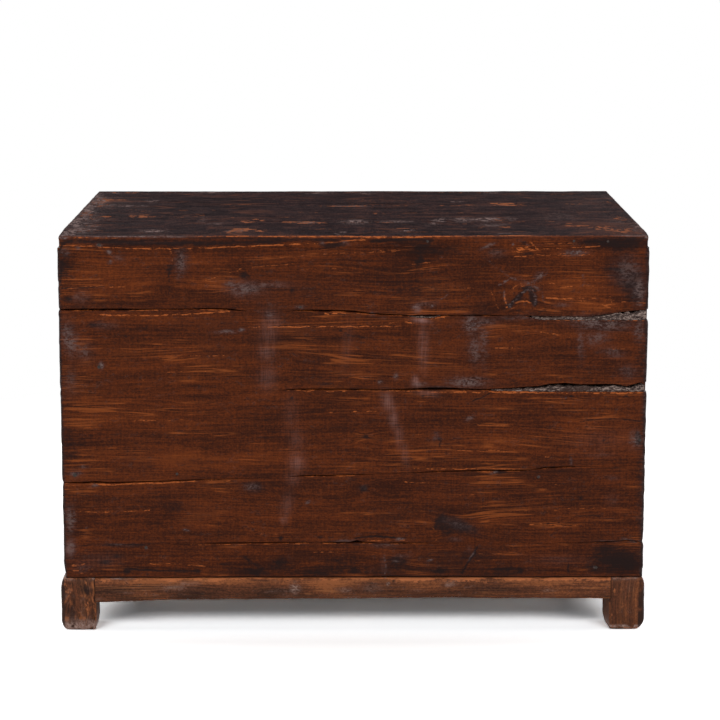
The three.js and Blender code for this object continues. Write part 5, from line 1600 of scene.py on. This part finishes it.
def make_inside():
    for node in ("floor_board_front", "floor_board_back", "shelf_board_front", "shelf_board_back",
                 "door_stop_bottom", "door_stop_top"):
        soften(node, [bare_level], "bare_wood")
    for node in ("top_batten_left", "top_batten_right", "shelf_cleat_left", "shelf_cleat_right",
                 "base_bearer"):
        soften(node, [bare_deep], "bare_wood")


def make_pulls():
    """The iron eyes, plates and rings, rounded and lightly hammered."""
    hammered = bpy.data.textures.new("forging", "CLOUDS")
    hammered.noise_scale = 3 * MM
    hammered.noise_depth = 3
    for word in ("left", "right"):
        for kind, depth in (("eye", 0.25 * MM), ("plate", 0.2 * MM), ("ring", 0.5 * MM)):
            node = f"pull_{kind}_{word}"
            piece = copied(node, f"forged_{node}")
            finished(piece, "SUBSURF", levels=2, render_levels=2)
            finished(piece, "DISPLACE", texture=hammered, texture_coords="GLOBAL", strength=depth,
                     mid_level=0.6)
            bpy.ops.object.shade_smooth()
            dress(piece, [iron], "wrought_iron", node)


# Filler and nails in the plank back

# Filler pressed into the open joints: the joint, where it runs from and to, how far it lies back
# in millimetres, and how much of the gap it fills.
FILLER_RUNS = [(0, 532, 647, 1.0, 0.75), (1, 492, 646, 0.9, 0.52), (0, 408, 440, 1.4, 0.3)]


def make_filler():
    joint_row = 316
    for number, (joint, first, last, set_back, filled) in enumerate(FILLER_RUNS):
        ends = on_plane([(first, joint_row), (last, joint_row)], 1, BACK_FACE)[:, 0]
        along = run_along(ends[0], ends[1], 120, 0.5 * MM)
        ragged = 0.5 + 0.5 * mottle(along / 0.006, number, 300 + number)
        low = along_joint(BACK_JOINTS[joint], 1, along) + (0.1 + 0.2 * ragged) * MM
        gap = along_joint(BACK_JOINTS[joint], 0, along) - low
        high = np.maximum(low + gap * (filled + 0.25 * ragged), low + 0.4 * MM)

        def worn_filler(x, y, z, from_end):
            crumbs = mottle(x / 0.006, z / 0.0015, 310 + number)
            return x, y + (set_back + 0.7 * crumbs) * MM

        rings = plank_rings(along, low, high, 18, BACK_FACE, BACK_INNER - 3 * MM,
                            0.3 * MM, 0.3 * MM, 0.5 * MM, worn_filler)
        strip = ring_solid(f"joint_filler_{number + 1}", rings)
        dress(strip, [filler], "back_lacquer")


# Nail heads in the photograph, and how wide each is in millimetres.
NAILS = [
    (427.5, 241.5, 4), (574, 241, 4), (608, 241.5, 4), (300.5, 307, 3.4), (75, 475, 6), (146, 547.5, 4.6),
    (177, 474, 4), (596, 567.5, 4.6), (640, 440, 5), (99, 367, 5), (99, 245, 5), (538.5, 477.4, 3.4),
]
NAIL_SUNK = 0.35 * MM


def make_nails():
    """One round head is shaped, then copied to each place with its own lumps."""
    bpy.ops.mesh.primitive_cylinder_add(vertices=18, radius=0.5, depth=0.3, end_fill_type="TRIFAN")
    head = bpy.context.object
    bpy.ops.object.mode_set(mode="EDIT")
    bpy.ops.mesh.select_all(action="SELECT")
    bpy.ops.transform.rotate(value=math.pi / 2, orient_axis="X", center_override=(0, 0, 0))
    bpy.ops.object.mode_set(mode="OBJECT")
    finished(head, "BEVEL", width=0.08, segments=3, limit_method="ANGLE", angle_limit=BEVEL_OVER)
    finished(head, "SUBSURF", levels=1, render_levels=1)
    shape = points_of(head)
    for number, (across, down, wide) in enumerate(NAILS):
        nail = bpy.data.objects.new(f"back_nail_{number + 1}", head.data.copy())
        scene.collection.objects.link(nail)
        place = on_plane([across, down], 1, BACK_FACE) + np.array([0, NAIL_SUNK, 0])
        seeds = [330 + 3 * number + axis for axis in range(3)]
        lumps = np.stack([mottle(shape[:, 0] * 3, shape[:, 2] * 3, seed) for seed in seeds], -1)
        move_points(nail, place + (shape + 0.06 * lumps) * wide * MM)
        dress(nail, [iron], "wrought_iron")
    bpy.data.objects.remove(head)


make_back()
make_top()
make_sides()
make_aprons()
make_feet()
make_front()
make_inside()
make_pulls()
make_filler()
make_nails()

# The floor and the light

FLOOR_SIDE = 30
FLOOR_GREY = 0.72
AMBIENT = 0.42
BASE_HALF_WIDTH = cad_box[1].x
BASE_HALF_DEPTH = cad_box[1].y

# Painted light on the floor where the camera sees it, lifting and shaping the cabinet's shadow:
# how pale the floor shows, from under the cabinet's middle, 0, to beyond its edge, 1: place,
# paleness and how cool it is there, the cool tint painted to offset the warm light thrown back
# from the wood.
FLOOR_PAINTED_LIGHT = [
    (0.02, 5.4, 0.5), (0.125, 3.6, 0.26), (0.227, 2.2, 0.18), (0.329, 2.85, 0.14), (0.429, 3.6, 0.08),
    (0.529, 2.7, 0.06), (0.6245, 2.4, 0.05), (0.7245, 1.75, 0.04), (1, 1.35, 0),
]
# How the painted cool tint shifts red, green and blue.
FLOOR_PAINTED_TINT = (-0.29, 0.12, 0.5)


def studio_floor():
    """A grey floor for the light that it throws back, shown pale round the cabinet and white
    further off. Where the camera sees it, painted light lifts and shapes the cabinet's shadow, painted
    shade darkens it near the corners, and a painted cool tint offsets the warm light from the wood."""
    f = Finish("studio_floor")
    path = f.add("LightPath").outputs
    x, y, _ = f.parts(f.place)
    past_side = f.minus(f.calc("ABSOLUTE", x), BASE_HALF_WIDTH)
    past_face = f.minus(f.calc("ABSOLUTE", y), BASE_HALF_DEPTH)
    past = f.calc("MAXIMUM", past_side, past_face)
    outward = f.calc("DIVIDE", f.plus(past, 0.16), 0.22)
    # A colour ramp holds no more than 1, so a tenth of the paleness goes through it.
    stops = [(spot, (pale / 10, cool, 0, 1)) for spot, pale, cool in FLOOR_PAINTED_LIGHT]
    pale, cool, _ = f.parts(f.ramp(outward, stops))
    # Painted shade: the floor darker under the cabinet near its corners.
    painted_corner_shade = f.times(f.band(f.calc("MINIMUM", past_side, past_face), -0.175, -0.075),
                        f.band(past, -0.035, -0.075))
    pale = f.times(f.times(pale, 10), f.minus(1, f.times(painted_corner_shade, 0.5)))
    cooled = [f.times(pale, f.plus(1, f.times(cool, more))) for more in FLOOR_PAINTED_TINT]
    shown = f.calc("MAXIMUM", path["Is Glossy Ray"], path["Is Transmission Ray"])
    shown = f.calc("MAXIMUM", path["Is Camera Ray"], shown)
    colour = f.blend(shown, (FLOOR_GREY, FLOOR_GREY, FLOOR_GREY, 1), f.joined(*cooled))
    distance = f.calc("SQRT", f.plus(f.times(x, x), f.times(y, y)))
    beyond = f.times(f.band(distance, 0.9, 1.7), shown)
    lit = f.add("BsdfDiffuse", {"Color": colour}).outputs[0]
    white = f.add("Emission", {"Color": (1, 1, 1, 1), "Strength": 1}).outputs[0]
    return f.surface(f.add("MixShader", {0: beyond, 1: lit, 2: white}))


bpy.ops.mesh.primitive_plane_add(size=FLOOR_SIDE)
floor = bpy.context.object
floor.name = "studio_floor"
floor.data.materials.append(studio_floor())

def studio_sky():
    """White where it is seen, and a plain even light for all else."""
    world = bpy.data.worlds.new("studio")
    world.use_nodes = True
    tree = world.node_tree
    tree.nodes.clear()
    rays = tree.nodes.new("ShaderNodeLightPath").outputs
    shown = rays["Is Camera Ray"]
    for kind in ("Is Glossy Ray", "Is Transmission Ray"):
        either = tree.nodes.new("ShaderNodeMath")
        either.operation = "MAXIMUM"
        tree.links.new(shown, either.inputs[0])
        tree.links.new(rays[kind], either.inputs[1])
        shown = either.outputs[0]
    level = tree.nodes.new("ShaderNodeMapRange")
    level.inputs["To Min"].default_value = AMBIENT
    level.inputs["To Max"].default_value = 1
    tree.links.new(shown, level.inputs["Value"])
    background = tree.nodes.new("ShaderNodeBackground")
    background.inputs["Color"].default_value = (1, 1, 1, 1)
    tree.links.new(level.outputs[0], background.inputs["Strength"])
    output = tree.nodes.new("ShaderNodeOutputWorld")
    tree.links.new(background.outputs[0], output.inputs["Surface"])
    return world


scene.world = studio_sky()

# Soft boxes all round and one overhead: place, side and power.
SOFT_BOXES = [
    ((-1.7, -3.0, 1.9), 1.8, 40), ((1.7, -3.0, 1.9), 1.8, 34), ((3.2, 0.6, 1.8), 1.8, 34),
    ((-3.2, 0.6, 1.8), 1.8, 34), ((1.4, 3.1, 1.9), 1.8, 34), ((-1.4, 3.1, 1.9), 1.8, 34),
    ((0, 0, 3.6), 2.4, 30),
]
AIMED_AT = np.array([0, 0, 0.3])


def hang_soft_boxes():
    for number, (place, side, power) in enumerate(SOFT_BOXES):
        lamp_data = bpy.data.lights.new(f"soft_box_{number}", "AREA")
        lamp_data.size = side
        lamp_data.energy = power
        lamp = bpy.data.objects.new(f"soft_box_{number}", lamp_data)
        lamp.location = place
        towards = AIMED_AT - np.array(place)
        pitch = math.atan2(math.hypot(towards[0], towards[1]), -towards[2])
        lamp.rotation_euler = (pitch, 0, math.atan2(towards[1], towards[0]) - math.pi / 2)
        scene.collection.objects.link(lamp)


hang_soft_boxes()
